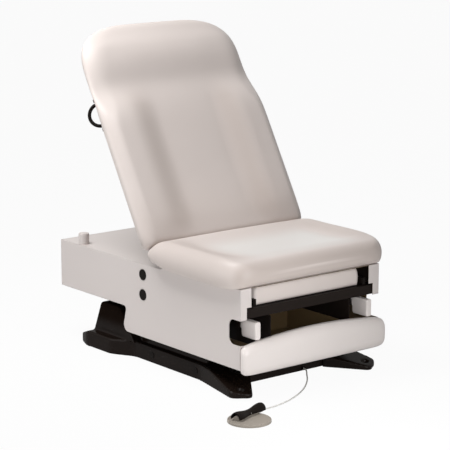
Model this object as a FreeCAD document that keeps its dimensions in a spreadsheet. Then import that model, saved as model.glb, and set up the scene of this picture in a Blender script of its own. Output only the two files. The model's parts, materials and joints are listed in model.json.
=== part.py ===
import FreeCAD, Part
import math
import os
import re

# Electric examination table. Millimetres, +Z up, front of the table towards -Y, patient's left at +X.
# The origin is on the floor, in the middle of the four fixing holes of the base.

SIZES = {
    # cabinet
    "cabinet_width": 640,
    "cabinet_front": 478,
    "cabinet_rear": 615,
    "panel_wall": 2,
    "deck_height": 378,
    "deck_wall": 2,
    "front_rise": 12,
    "rise_reach": 26,
    "panel_low": 104,
    "panel_step_height": 200,
    "panel_step_reach": 188,
    "panel_step_slope": 26,
    "panel_step_round": 26,
    "notch_depth": 62,
    "notch_low": 191,
    "notch_tall": 88,
    "notch_round": 24,
    "flange_wide": 49,
    "flange_narrow": 29,
    "plug_reach": 85,
    "plug_high": 338,
    "plug_low": 263,
    "plug_diameter": 41,
    "plug_proud": 1.5,
    "plug_clearance": 0.2,
    "post_diameter": 40,
    "post_inset": 24,
    "post_reach": 495,
    "post_gap": 0.5,
    "slot_front": 50,
    "slot_rear": 330,
    "slot_width": 64,
    # upper frame
    "side_tube_width": 30,
    "side_tube_height": 54,
    "tube_wall": 3,
    "cross_tube_depth": 40,
    "cross_tube_height": 45,
    "front_bar_gap": 2,
    "front_bar_top_trim": 6,
    "front_bar_low_trim": 5,
    "mid_tube_reach": -120,
    "hinge_tube_reach": 18,
    "rear_tube_reach": 580,
    "side_tube_front": 470,
    # seat
    "seat_width": 734,
    "seat_front": 505,
    "seat_rear": 13,
    "seat_thick": 93,
    "seat_dish": 13,
    "seat_board_wall": 13,
    "seat_board_inset": 56.5,
    "seat_board_front": 388,
    "seat_board_rear": 54,
    "seat_lift": 2,
    # back
    "back_hinge_reach": 23,
    "back_hinge_height": 411,
    "back_angle": 59.6,
    "back_width": 744,
    "back_start": 36,
    "back_length": 863,
    "back_rear_face": 13.5,
    "back_thick": 60,
    "back_dish": 16,
    "back_board_wall": 12,
    "back_board_low": 10,
    "back_board_inset": 36.5,
    "back_board_start": 48,
    "back_board_end": 830,
    "back_board_round": 110,
    "back_tube": 25,
    "back_tube_length": 620,
    "back_tube_reach": 162,
    "back_cross_reach": 250,
    "spring_lug_reach": 46,
    "hinge_pin_diameter": 16,
    "hinge_eye_diameter": 32,
    "hinge_bracket_wall": 10,
    "hinge_side_gap": 2,
    "running_clearance": 0.05,
    # gas spring
    "spring_anchor_reach": 40,
    "spring_anchor_drop": 75,
    "spring_top_drop": 28,
    "spring_pin_diameter": 12,
    "spring_tube_diameter": 22,
    "spring_rod_diameter": 10,
    "spring_tube_length": 186,
    "spring_eye_width": 20,
    "spring_open_clearance": 7.5,
    "spring_eye_wall": 4,
    "spring_neck": 20,
    "spring_rod_room": 88,
    "lug_wall": 6,
    "lug_gap": 1,
    # release handles
    "handle_reach": 338,
    "handle_along": 566,
    "handle_ring": 42,
    "handle_rod_diameter": 13,
    "handle_tilt": 45,
    "handle_stub_diameter": 8,
    "handle_stub_length": 12,
    "handle_drop": 3,
    "handle_lug_width": 16,
    "handle_lug_gap": 2,
    # leg rest
    "leg_rest_width": 490,
    "leg_rest_length": 400,
    "leg_rest_set_back": 18,
    "leg_rest_board_wall": 12,
    "leg_rest_cushion": 50,
    "leg_rest_clearance": 0.3,
    "leg_guide_width": 13,
    "leg_guide_height": 24,
    "leg_guide_gap": 1.5,
    # drawer
    "drawer_front_width": 660,
    "drawer_front_low": 88,
    "drawer_front_end": 193,
    "drawer_front_rise": 27,
    "drawer_front_thick": 36,
    "drawer_front_round": 14,
    "drawer_gap": 1,
    "drawer_width": 356,
    "drawer_depth": 340,
    "drawer_low": 104,
    "drawer_high": 196,
    "drawer_wall": 3,
    "runner_low": 150,
    "runner_height": 24,
    "runner_wall": 2.5,
    "runner_gap": 0.3,
    "carrier_wall": 3,
    "carrier_rear": 100,
    # stirrups
    "stirrup_reach": 257,
    "stirrup_bar_width": 18,
    "stirrup_bar_height": 34,
    "stirrup_clearance": 0.4,
    "sleeve_wall": 4,
    "sleeve_front": 410,
    "sleeve_rear": 60,
    "foot_low": 209,
    "foot_high": 270,
    "foot_width": 23,
    "foot_step_depth": 23,
    "foot_step_rise": 11.5,
    "foot_front": 498,
    "foot_rear": 414,
    "foot_pin_diameter": 8,
    "foot_pin_set_back": 11,
    "tongue_width": 15,
    "tongue_height": 11,
    "tongue_gap": 0.7,
    # base
    "rail_span": 570,
    "rail_width": 60,
    "rail_height": 60,
    "rail_ridge": 20,
    "toe_front": 492,
    "toe_rear": 505,
    "toe_spread": 337,
    "toe_front_drop": 46,
    "toe_rear_drop": 30,
    "tower_height": 179,
    "tower_outer": 300,
    "tower_front": 170,
    "tower_rear": 430,
    "tower_round": 25,
    "base_tube_size": 38,
    "base_tube_low": 10,
    "base_tube_rear": 432,
    "cover_clearance": 0.3,
    "base_cross_height": 44,
    "front_member_low": 2,
    "front_member_height": 36,
    "member_gap": 16,
    "base_rear_reach": 395,
    "fixing_reach_x": 290,
    "fixing_set_back": 48,
    "fixing_hole_diameter": 11,
    "fixing_sink_diameter": 28,
    "fixing_sink_floor": 14,
    "rail_plug_diameter": 25,
    "rail_plug_height": 31,
    "rail_plug_front": -180,
    "rail_plug_rear": 80,
    "tower_plate_wall": 10,
    "tower_plate_front": 315,
    # lift
    "arm_length": 616,
    "arm_drop": 70,
    "arm_pivot_reach": 350,
    "lower_pivot_height": 105,
    "pivot_spacing": 55,
    "arm_depth": 36,
    "arm_wall": 27,
    "arm_side_gap": 3,
    "arm_eye_diameter": 40,
    "arm_pin_diameter": 20,
    "arm_tube_diameter": 32,
    "lower_tube_along": 250,
    "upper_tube_along": 90,
    "ram_anchor_along": 24,
    "ram_anchor_drop": 73,
    "ram_top_along": 195,
    "ram_top_rise": 26,
    "ram_pin_diameter": 16,
    "ram_tube_diameter": 44,
    "ram_rod_diameter": 20,
    "ram_tube_length": 150,
    "ram_eye_width": 24,
    "ram_open_clearance": 5,
    "ram_eye_wall": 5,
    "ram_neck": 26,
    "ram_rod_room": 5,
    "hanger_low": 16,
    "hanger_depth": 44,
    # boxes in the base
    "control_box_width": 210,
    "control_box_depth": 100,
    "control_box_shift": -45,
    "pump_width": 140,
    "pump_depth": 140,
    "pump_height": 60,
    "inlet_width": 50,
    "inlet_height": 30,
    "inlet_depth": 12,
    "inlet_reach": 85,
    # foot control
    "disc_x": -444,
    "disc_y": -680,
    "disc_diameter": 148,
    "disc_thick": 9,
    "disc_round": 3,
    "rocker_x": -426,
    "rocker_y": -653,
    "rocker_turn": 15,
    "rocker_length": 148,
    "rocker_end_radius": 19,
    "rocker_waist_radius": 13,
    "rocker_lift": 6,
    "rocker_shell": 3,
    "housing_end_radius": 10.5,
    "housing_waist_radius": 7.2,
    "housing_short": 6,
    "rocker_pin_diameter": 5,
    "rocker_pin_rise": 10.5,
    "rocker_skirt": 3,
    # cord of the foot control
    "cord_diameter": 5,
    "grommet_diameter": 14,
    "grommet_length": 6,
    "cord_exit_x": 82,
    "cord_exit_height": 11,
}

doc = FreeCAD.newDocument("ExaminationTable")
sheet = doc.addObject("Spreadsheet::Sheet", "Sizes")
for row, (alias, size) in enumerate(SIZES.items(), start=1):
    sheet.set(f"A{row}", alias)
    sheet.set(f"B{row}", str(size))
    sheet.setAlias(f"B{row}", alias)
doc.recompute()

pieces = []

# places that several pieces share
outer = "cabinet_width / 2"
inner = "(cabinet_width / 2 - panel_wall)"
tube_top = "(deck_height - deck_wall)"
tube_low = "(deck_height - deck_wall - side_tube_height)"
cross_low = "(deck_height - deck_wall - side_tube_height - cross_tube_height)"
notch_high = "(notch_low + notch_tall)"
front_top = "(deck_height + front_rise)"
rise_front = "(rise_reach + 2 * front_rise)"
bar_front = "(-cabinet_front + panel_wall + front_bar_gap)"
arm_outer = "(rail_span / 2 - rail_width - cover_clearance - tower_plate_wall - arm_side_gap)"
arm_inner = f"({arm_outer} - arm_wall)"
plate_inner = f"({arm_outer} + arm_side_gap)"
plate_outer = f"({arm_outer} + arm_side_gap + tower_plate_wall)"
upper_pivot_height = "(lower_pivot_height + pivot_spacing)"
hanger_reach = "(arm_pivot_reach - sqrt(arm_length ^ 2 - arm_drop ^ 2))"
base_front = f"({hanger_reach} - hanger_depth / 2 - member_gap - cross_tube_depth)"
fixing_reach = "(toe_front - fixing_set_back)"


def bound(expression):
    """The expression with each size's name pointing at its cell."""
    return re.sub(r"[a-z]\w*",
                  lambda word: ("Sizes." if word.group() in SIZES else "") + word.group(), expression)


def size_of(expression):
    return float(sheet.evalExpression(bound(str(expression))))


def point(*expressions):
    return FreeCAD.Vector(*[size_of(expression) for expression in expressions])


def bind(thing, name, expression):
    thing.setExpression(name, bound(expression))


def piece(label, thing):
    """Names a finished sub-part and puts it on the list that is written out."""
    thing.Label = label
    pieces.append(thing)
    return thing


def block(low, high):
    """A block between two corners, each given as three expressions."""
    solid = doc.addObject("Part::Box", "block")
    for axis, side, start, end in zip("xyz", ("Length", "Width", "Height"), low, high):
        bind(solid, side, f"({end}) - ({start})")
        bind(solid, "Placement.Base." + axis, start)
    return solid


def rod(axis, centre, diameter, start, end):
    """A round bar along x, y or z; centre holds the two other coordinates."""
    solid = doc.addObject("Part::Cylinder", "rod")
    turns = {"x": FreeCAD.Rotation(FreeCAD.Vector(0, 1, 0), 90),
             "y": FreeCAD.Rotation(FreeCAD.Vector(1, 0, 0), -90),
             "z": FreeCAD.Rotation()}
    solid.Placement.Rotation = turns[axis]
    places = dict(zip([letter for letter in "xyz" if letter != axis], centre))
    places[axis] = start
    bind(solid, "Radius", f"({diameter}) / 2")
    bind(solid, "Height", f"({end}) - ({start})")
    for letter, place in places.items():
        bind(solid, "Placement.Base." + letter, place)
    return solid


def fuse(*solids):
    joined = doc.addObject("Part::MultiFuse", "joined")
    joined.Shapes = list(solids)
    joined.Refine = True
    return joined


def group(*solids):
    together = doc.addObject("Part::Compound", "together")
    together.Links = list(solids)
    return together


def cut(base, *tools):
    remaining = doc.addObject("Part::Cut", "remaining")
    remaining.Base = base
    remaining.Tool = tools[0] if len(tools) == 1 else group(*tools)
    remaining.Refine = True
    return remaining


def mirrored(solid):
    """The same piece on the other side of the table."""
    other = doc.addObject("Part::Mirroring", "other_side")
    other.Source = solid
    other.Normal = FreeCAD.Vector(1, 0, 0)
    return other


def rounded(base, radius, wanted):
    """Rounds the edges that wanted() picks."""
    doc.recompute()
    smooth = doc.addObject("Part::Fillet", "smooth")
    smooth.Base = base
    limit = size_of(radius)
    smooth.Edges = [(number, limit, limit) for number,
                    edge in enumerate(base.Shape.Edges, start=1) if wanted(edge)]
    return smooth


def tube(low, high, wall, axis):
    """A rectangular tube, open at both ends along its axis."""
    hollow_low = [start if letter == axis else f"{start} + {wall}" for letter, start in zip("xyz", low)]
    hollow_high = [end if letter == axis else f"{end} - ({wall})" for letter, end in zip("xyz", high)]
    return cut(block(low, high), block(hollow_low, hollow_high))


def both_sides(name, right):
    """The right piece and its mirror image, as two named sub-parts."""
    piece(name + "_right", right)
    piece(name + "_left", mirrored(right))


def pair(name, right):
    """The right piece and its mirror image, as one named sub-part of two solids."""
    piece(name, group(right, mirrored(right)))


def rounded_outline(corners):
    """Lines and arcs round a closed outline; each corner is two places and the radius of its rounding."""
    spots = [FreeCAD.Vector(size_of(u), size_of(v), 0) for u, v, radius in corners]
    edges = []
    starts = []
    for number, (here, corner) in enumerate(zip(spots, corners)):
        before = (spots[number - 1] - here).normalize()
        after = (spots[(number + 1) % len(spots)] - here).normalize()
        radius = size_of(corner[2])
        half_turn = before.getAngle(after) / 2
        reach = radius / math.tan(half_turn) if radius else 0
        enter = here + before * reach
        leave = here + after * reach
        if radius:
            middle = here + (before + after).normalize() * (radius / math.sin(half_turn) - radius)
            edges.append((enter, middle, leave))
        starts.append((enter, leave))
    curves = [Part.Arc(*three) for three in edges]
    for number in range(len(starts)):
        leave = starts[number - 1][1]
        enter = starts[number][0]
        if leave.distanceToPoint(enter) > 1e-6:
            curves.append(Part.LineSegment(leave, enter))
    return curves


def plate(name, plane, corners, offset, thickness):
    """A padded sketch on one of the body's own planes: YZ pads towards +X, XZ towards -Y, XY towards +Z."""
    body = doc.addObject("PartDesign::Body", name)
    sketch = body.newObject("Sketcher::SketchObject", name + "_outline")
    support = [feature for feature in body.Origin.OriginFeatures if feature.Role == plane + "_Plane"]
    sketch.AttachmentSupport = [(support[0], "")]
    sketch.MapMode = "FlatFace"
    sketch.addGeometry(rounded_outline(corners), False)
    bind(sketch, "AttachmentOffset.Base.z", offset)
    pad = body.newObject("PartDesign::Pad", name + "_pad")
    pad.Profile = sketch
    bind(pad, "Length", thickness)
    body.Tip = pad
    return body


def turned_about_x(solid, reach, height, degrees):
    """Sets a piece that was drawn flat about its pivot at its place in the table."""
    solid.Placement = FreeCAD.Placement(point("0", reach, height),
                                        FreeCAD.Rotation(FreeCAD.Vector(1, 0, 0), degrees))
    bind(solid, "Placement.Base.y", reach)
    bind(solid, "Placement.Base.z", height)
    return solid


def cushion_section(along, half_width, low, high, dish, rounding, under):
    """One closed section of a cushion: flat below, drawn-in sides, a rim and a dished middle."""
    widest = low + 0.4 * (high - low)
    crown = 2
    floor_end = (half_width - under, low)
    side = (half_width, widest)
    rim = (half_width - rounding, high)
    slope = min(85, 0.5 * (half_width - rounding))
    dip = (half_width - rounding - slope, high - dish)

    def spot(place, mirror=1):
        return FreeCAD.Vector(mirror * place[0], along, place[1])

    lower_mid = (half_width - 0.25 * under, low + 0.36 * (widest - low))
    upper_mid = (half_width - 0.29 * rounding, high - 0.29 * (high - widest))
    right = [Part.Arc(spot(floor_end), spot(lower_mid), spot(side)).toShape(),
             Part.Arc(spot(side), spot(upper_mid), spot(rim)).toShape(),
             Part.LineSegment(spot(rim), spot(dip)).toShape()]
    left = [Part.LineSegment(spot(dip, -1), spot(rim, -1)).toShape(),
            Part.Arc(spot(rim, -1), spot(upper_mid, -1), spot(side, -1)).toShape(),
            Part.Arc(spot(side, -1), spot(lower_mid, -1), spot(floor_end, -1)).toShape()]
    middle = FreeCAD.Vector(0, along, high - dish + (crown if dish <= 0 else -crown))
    across = [Part.Arc(spot(dip), middle, spot(dip, -1)).toShape()]
    ground = [Part.LineSegment(spot(floor_end, -1), spot(floor_end)).toShape()]
    return Part.Wire(right + across + left + ground)


def cushion(name, sections, straight=False):
    """A loft through the sections, smooth or with straight runs from one to the next."""
    solid = doc.addObject("Part::Feature", name)
    solid.Shape = Part.makeLoft([cushion_section(*section) for section in sections], True, straight)
    return solid


def build_cabinet():
    """Side panels with their folded front edge, deck raised under the seat, rear panel, plugs and posts."""
    reach = "-cabinet_front"
    outline = [
        (reach, "panel_low", "0"),
        (f"panel_step_reach + panel_step_slope", "panel_low", "panel_step_round"),
        ("panel_step_reach", "panel_step_height", "panel_step_round / 2"),
        ("cabinet_rear", "panel_step_height", "0"),
        ("cabinet_rear", "deck_height", "0"),
        ("-rise_reach", "deck_height", "front_rise"),
        (f"-{rise_front}", front_top, "front_rise"),
        (reach, front_top, "0"),
        (reach, notch_high, "0"),
        (f"{reach} + notch_depth", notch_high, "notch_round"),
        (f"{reach} + notch_depth", "notch_low", "notch_round"),
        (reach, "notch_low", "0"),
    ]
    sheet_metal = plate("side_sheet", "YZ", outline, inner, "panel_wall")
    flanges = []
    for low, high, width in ((tube_low, front_top, "flange_wide"),
                             (notch_high, tube_low, "flange_narrow"),
                             ("panel_low", "notch_low", "flange_narrow")):
        flanges.append(block((f"{outer} - {width}", reach, low), (outer, f"{reach} + panel_wall", high)))
    holes = [rod("x", ("plug_reach", height), "plug_diameter", f"{inner} - panel_wall",
                 f"{outer} + panel_wall")
             for height in ("plug_high", "plug_low")]
    both_sides("side_panel", cut(fuse(sheet_metal, *flanges), *holes))

    slot = block(("-slot_width / 2", "slot_front", f"{tube_top} - deck_wall"),
                 ("slot_width / 2", "slot_rear", "deck_height + deck_wall"))
    deck = block((f"-{inner}", f"-{rise_front}", tube_top),
                 (inner, "cabinet_rear - panel_wall", "deck_height"))
    riser = block((f"-{inner}", f"-{rise_front}", tube_top),
                  (inner, f"-{rise_front} + deck_wall", front_top))
    tray = block((f"-{inner}", f"{reach} + panel_wall", f"{front_top} - deck_wall"),
                 (inner, f"-{rise_front} + deck_wall", front_top))
    skirt = block((f"{inner} - deck_wall", f"{reach} + panel_wall", tube_top),
                  (inner, f"-{rise_front} + deck_wall", front_top))
    piece("deck", cut(fuse(deck, riser, tray, skirt, mirrored(skirt)), slot))
    piece("rear_panel", block((f"-{inner}", "cabinet_rear - panel_wall", "panel_step_height"),
                              (inner, "cabinet_rear", "deck_height")))

    caps = [rod("x", ("plug_reach", height), "plug_diameter - 2 * plug_clearance", inner,
                f"{outer} + plug_proud")
            for height in ("plug_high", "plug_low")]
    piece("panel_plugs", group(*caps, *[mirrored(cap) for cap in caps]))

    post = rod("z", (f"{outer} - post_inset", "post_reach"), "post_diameter", "deck_height",
               "back_hinge_height + back_board_low - post_gap")
    top = size_of("back_hinge_height + back_board_low - post_gap")
    soft_post = rounded(post, "4", lambda edge: edge.BoundBox.ZMin > top - 0.01)
    piece("back_posts", group(soft_post, mirrored(soft_post)))


def build_upper_frame():
    """Welded tubes under the deck, with the hangers that the lift arms carry."""
    side = tube((f"{inner} - side_tube_width", "-side_tube_front", tube_low),
                (inner, "cabinet_rear - panel_wall", tube_top), "tube_wall", "y")
    pair("frame_side_tubes", side)
    piece("front_bar", tube((f"-{inner}", bar_front, f"{cross_low} + front_bar_low_trim"),
                            (inner, f"{bar_front} + cross_tube_depth",
                             f"{tube_low} - front_bar_top_trim"), "tube_wall", "x"))
    between = f"({inner} - side_tube_width)"
    for label, half, low, high, middles in (
            ("frame_cross_tubes", inner, cross_low, tube_low, (hanger_reach, "mid_tube_reach")),
            ("frame_end_tubes", between, tube_low, tube_top, ("hinge_tube_reach", "rear_tube_reach"))):
        piece(label, group(*[tube((f"-{half}", f"{middle} - cross_tube_depth / 2", low),
                                  (half, f"{middle} + cross_tube_depth / 2", high), "tube_wall", "x")
                             for middle in middles]))

    hanger = block((plate_inner, f"{hanger_reach} - hanger_depth / 2", "hanger_low"),
                   (plate_outer, f"{hanger_reach} + hanger_depth / 2", cross_low))
    lower = "lower_pivot_height - arm_drop"
    upper = f"{upper_pivot_height} - arm_drop"
    bores = [rod("x", (hanger_reach, height), "arm_pin_diameter + 2 * running_clearance",
                 f"{plate_inner} - 1",
                 f"{plate_outer} + 1") for height in (lower, upper)]
    pair("arm_hangers", cut(hanger, *bores))
    pins = [rod("x", (hanger_reach, height), "arm_pin_diameter", f"{arm_inner} - arm_side_gap", plate_outer)
            for height in (lower, upper)]
    piece("front_arm_pins", group(*pins, *[mirrored(pin) for pin in pins]))


def build_seat():
    """Board on the deck, and the cushion that wraps it."""
    low = size_of(f"{front_top} + seat_lift")
    high = low + size_of("seat_thick")
    wide = size_of("seat_width / 2")
    front = -size_of("seat_front")
    rear = -size_of("seat_rear")
    dish = size_of("seat_dish")
    profile = [
        (front, wide - 125, low + 32, high - 36, 0, 26, 14),
        (front + 8, wide - 74, low + 21, high - 22, 0, 36, 16),
        (front + 26, wide - 37, low + 9, high - 11, 0.1 * dish, 42, 18),
        (front + 58, wide - 11, low + 1, high - 3, 0.4 * dish, 44, 20),
        (front + 110, wide - 2, low, high, 0.8 * dish, 42, 20),
        (front + 190, wide, low, high, dish, 42, 20),
        (0.5 * (front + rear) + 60, wide, low, high, dish, 42, 20),
        (rear - 95, wide - 1, low, high, 0.7 * dish, 44, 20),
        (rear - 55, wide - 2, low + 2, high, 0.2 * dish, 46, 20),
        (rear - 28, wide - 6, low + 10, high - 5, 0, 46, 20),
        (rear - 9, wide - 13, low + 22, high - 16, 0, 40, 18),
        (rear, wide - 22, low + 34, high - 30, 0, 30, 14),
    ]
    board_half = "(seat_width / 2 - seat_board_inset)"
    board_top = f"{front_top} + seat_board_wall"
    piece("seat_board", block((f"-{board_half}", "-seat_board_front", front_top),
                              (board_half, "-seat_board_rear", board_top)))
    pocket = block((f"-{board_half}", "-seat_board_front", f"{front_top} - seat_board_wall"),
                   (board_half, "-seat_board_rear", board_top))
    piece("seat_cushion", cut(cushion("seat_foam", profile), pocket))


def build_back():
    """Everything that tilts, drawn flat about the hinge axis and then turned to its resting angle."""
    angle = size_of("back_angle")

    def placed(label, solid):
        return piece(label, turned_about_x(solid, "back_hinge_reach", "back_hinge_height", angle))

    low = size_of("back_rear_face")
    high = low + size_of("back_thick")
    wide = size_of("back_width / 2")
    start = size_of("back_start")
    end = start + size_of("back_length")
    dish = size_of("back_dish")
    profile = [
        (start, wide - 26, low + 7, low + 29, 0, 24, 12),
        (start + 7, wide - 10, low + 2, high - 16, 0, 34, 14),
        (start + 26, wide - 3, low, high - 4, 0.1 * dish, 42, 16),
        (start + 70, wide, low, high, 0.5 * dish, 48, 16),
        (start + 160, wide, low, high, dish, 48, 16),
        (start + 330, wide, low, high, dish, 48, 16),
        (end - 380, wide, low, high - 1, 0.9 * dish, 52, 16),
        (end - 329, wide - 2, low, high - 8, 0.7 * dish, 60, 16),
        (end - 289, wide - 5, low, high - 20, 0.3 * dish, 70, 16),
        (end - 249, wide - 9, low - 5, high - 32, 0, 80, 16),
        (end - 209, wide - 12, low - 12.5, high - 34, 0, 86, 16),
        (end - 164, wide - 13, low - 17.5, high - 25, -0.1 * dish, 90, 16),
        (end - 119, wide - 17, low - 17, high - 21, -0.1 * dish, 92, 16),
        (end - 79, wide - 31, low - 13, high - 24, 0, 90, 16),
        (end - 49, wide - 54, low - 8, high - 30, 0, 84, 16),
        (end - 24, wide - 92, low - 3, high - 36, 0, 72, 14),
        (end - 8, wide - 138, low, high - 41, 0, 58, 12),
        (end, wide - 188, low + 3, high - 45, 0, 44, 10),
    ]
    board_corners = (("-back_width / 2 + back_board_inset", "back_board_start", "back_board_low"),
                     ("back_width / 2 - back_board_inset", "back_board_end",
                      "back_board_low + back_board_wall"))
    board = block(*board_corners)
    doc.recompute()
    long_edges = lambda edge: abs(edge.BoundBox.ZLength - size_of("back_board_wall")) < 0.01
    placed("back_board", rounded(board, "back_board_round", long_edges))
    placed("back_cushion",
           cut(cushion("back_foam", profile),
               rounded(block(*board_corners), "back_board_round", long_edges)))

    half = "back_tube / 2"
    tube_bottom = "(back_board_low - back_tube)"
    arms = []
    for sign in ("", "-"):
        middle = f"{sign}back_tube_reach"
        arms.append(block((f"{middle} - {half}", "0", tube_bottom),
                          (f"{middle} + {half}", "back_tube_length", "back_board_low")))
        arms.append(rod("x", ("0", "0"), "hinge_eye_diameter", f"{middle} - {half}", f"{middle} + {half}"))
    cross = [block((f"-back_tube_reach", f"{along} - {half}", tube_bottom),
                   ("back_tube_reach", f"{along} + {half}", "back_board_low"))
             for along in ("(back_cross_reach + spring_lug_reach)", f"back_tube_length - {half}")]
    gap = "(spring_eye_width / 2 + lug_gap)"
    lugs = []
    for start_x, end_x in ((gap, f"{gap} + lug_wall"), (f"-{gap} - lug_wall", f"-{gap}")):
        lugs.append(block((start_x, f"back_cross_reach - {half}", "-spring_top_drop - spring_pin_diameter"),
                          (end_x, "back_cross_reach + spring_lug_reach", "0")))
    spring_pin = rod("x", ("back_cross_reach", "-spring_top_drop"), "spring_pin_diameter",
                     f"-{gap} - lug_wall", f"{gap} + lug_wall")
    bore = rod("x", ("0", "0"), "hinge_pin_diameter + 2 * running_clearance",
               "-back_tube_reach - back_tube", "back_tube_reach + back_tube")
    placed("back_frame", cut(fuse(*arms, *cross, *lugs, spring_pin), bore))

    stub = "handle_stub_diameter + 2 * running_clearance"
    lugs = []
    for side in (1, -1):
        label = "right" if side > 0 else "left"
        reach = f"{side} * handle_reach"
        ring = doc.addObject("Part::Torus", "ring")
        bind(ring, "Radius1", "handle_ring")
        bind(ring, "Radius2", "handle_rod_diameter / 2")
        ring.Angle3 = 180
        outward = side * math.sin(math.radians(size_of("handle_tilt")))
        down = math.cos(math.radians(size_of("handle_tilt")))
        ring.Placement.Rotation = FreeCAD.Rotation(FreeCAD.Vector(0, 1, 0),
                                                   FreeCAD.Vector(outward, 0, -down),
                                                   FreeCAD.Vector(-down, 0, -outward), "XYZ")
        bind(ring, "Placement.Base.x", reach)
        bind(ring, "Placement.Base.y", "handle_along")
        bind(ring, "Placement.Base.z", "-handle_drop")
        stubs = []
        knobs = []
        for way in (1, -1):
            corner = f"handle_along + {way} * handle_ring"
            near = f"{corner} + {way} * (handle_rod_diameter / 2 + handle_lug_gap)"
            far = f"{near} + {way} * handle_stub_length"
            low_y, high_y = (corner, far) if way > 0 else (far, corner)
            stubs.append(rod("y", (reach, "-handle_drop"), "handle_stub_diameter", low_y, high_y))
            knob = doc.addObject("Part::Sphere", "corner")
            bind(knob, "Radius", "handle_rod_diameter / 2")
            for axis, place in zip("xyz", (reach, corner, "-handle_drop")):
                bind(knob, "Placement.Base." + axis, place)
            knobs.append(knob)
            lug_low, lug_high = (near, far) if way > 0 else (far, near)
            lug = block((f"{reach} - handle_lug_width / 2", lug_low, "-handle_drop - handle_stub_diameter"),
                        (f"{reach} + handle_lug_width / 2", lug_high, "back_board_low"))
            lugs.append(cut(lug,
                            rod("y", (reach, "-handle_drop"), stub, f"{lug_low} - 1",
                                f"{lug_high} + 1")))
        placed("release_handle_" + label, fuse(ring, *stubs, *knobs))
    placed("handle_lugs", group(*lugs))


def build_back_hinge():
    """Two forked brackets on the deck and the pins that the back turns on."""
    half = "(back_tube / 2 + hinge_side_gap)"
    brackets = []
    pins = []
    for sign in ("", "-"):
        middle = f"{sign}back_tube_reach"
        for start, end in ((half, f"{half} + hinge_bracket_wall"),
                           (f"-{half} - hinge_bracket_wall", f"-{half}")):
            cheek = block((f"{middle} + {start}", "back_hinge_reach - hinge_eye_diameter / 2",
                           "deck_height"),
                          (f"{middle} + {end}", "back_hinge_reach + hinge_eye_diameter / 2",
                           "back_hinge_height + hinge_eye_diameter / 2"))
            bore = rod("x", ("back_hinge_reach", "back_hinge_height"),
                       "hinge_pin_diameter + 2 * running_clearance",
                       f"{middle} + {start} - 1", f"{middle} + {end} + 1")
            brackets.append(cut(cheek, bore))
        pins.append(rod("x", ("back_hinge_reach", "back_hinge_height"), "hinge_pin_diameter",
                        f"{middle} - {half} - hinge_bracket_wall",
                        f"{middle} + {half} + hinge_bracket_wall"))
    piece("hinge_brackets", group(*brackets))
    piece("hinge_pins", group(*pins))


def telescoping_pair(tube_label, rod_label, start, end, prefix, width):
    """A cylinder that turns on its anchor pin, and its rod, on the line from start to end."""
    run = end - start
    length = run.Length
    degrees = math.degrees(math.atan2(run.z, run.y))
    pin = f"{prefix}_pin_diameter"
    half = f"{width} / 2"
    eye_wide = f"({pin} + 4 * {prefix}_eye_wall)"
    neck = f"{prefix}_neck"
    barrel = rod("y", ("0", "0"), f"{prefix}_tube_diameter", neck, f"{prefix}_tube_length")
    shank = rod("y", ("0", "0"), f"0.8 * {width}", "0", f"{neck} + 1")
    anchor_eye = rod("x", ("0", "0"), eye_wide, f"-{half}", half)
    hole = rod("x", ("0", "0"), f"{pin} + 2 * running_clearance", f"-{half} - 1", f"{half} + 1")
    bore = rod("y", ("0", "0"), f"{prefix}_rod_diameter + 2 * running_clearance",
               f"{neck} + {prefix}_eye_wall",
               f"{prefix}_tube_length + 1")
    outer_part = cut(fuse(barrel, shank, anchor_eye), hole, bore)

    open_hole = f"({pin} + 2 * {prefix}_open_clearance)"
    top_eye = rod("x", (str(length), "0"), f"{open_hole} + 2 * {prefix}_eye_wall", f"-{half}", half)
    slide = rod("y", ("0", "0"), f"{prefix}_rod_diameter",
                f"{neck} + {prefix}_eye_wall + {prefix}_rod_room", f"{length} - {open_hole} / 2")
    open_bore = rod("x", (str(length), "0"), open_hole, f"-{half} - 1", f"{half} + 1")
    inner_part = cut(fuse(slide, top_eye), open_bore)
    for label, solid in ((tube_label, outer_part), (rod_label, inner_part)):
        solid.Placement = FreeCAD.Placement(start, FreeCAD.Rotation(FreeCAD.Vector(1, 0, 0), degrees))
        piece(label, solid)


def build_gas_spring():
    """Lug under the deck and the spring that carries the back."""
    gap = "(spring_eye_width / 2 + lug_gap)"
    reach = "(back_hinge_reach + spring_anchor_reach)"
    height = "(back_hinge_height - spring_anchor_drop)"
    tube_rear = "hinge_tube_reach + cross_tube_depth / 2"
    lugs = []
    for start, end in ((gap, f"{gap} + lug_wall"), (f"-{gap} - lug_wall", f"-{gap}")):
        lugs.append(block((start, tube_rear, f"{height} - spring_pin_diameter"),
                          (end, f"{reach} + spring_pin_diameter", f"{height} + spring_pin_diameter")))
    pin = rod("x", (reach, height), "spring_pin_diameter", f"-{gap} - lug_wall", f"{gap} + lug_wall")
    piece("spring_anchor", fuse(*lugs, pin))

    angle = math.radians(size_of("back_angle"))
    along = size_of("back_cross_reach")
    drop = size_of("spring_top_drop")
    top = point("0", "back_hinge_reach", "back_hinge_height")
    top += FreeCAD.Vector(0, along * math.cos(angle) + drop * math.sin(angle),
                          along * math.sin(angle) - drop * math.cos(angle))
    telescoping_pair("gas_spring", "gas_spring_rod", point("0", reach, height), top, "spring",
                     "spring_eye_width")


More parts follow.
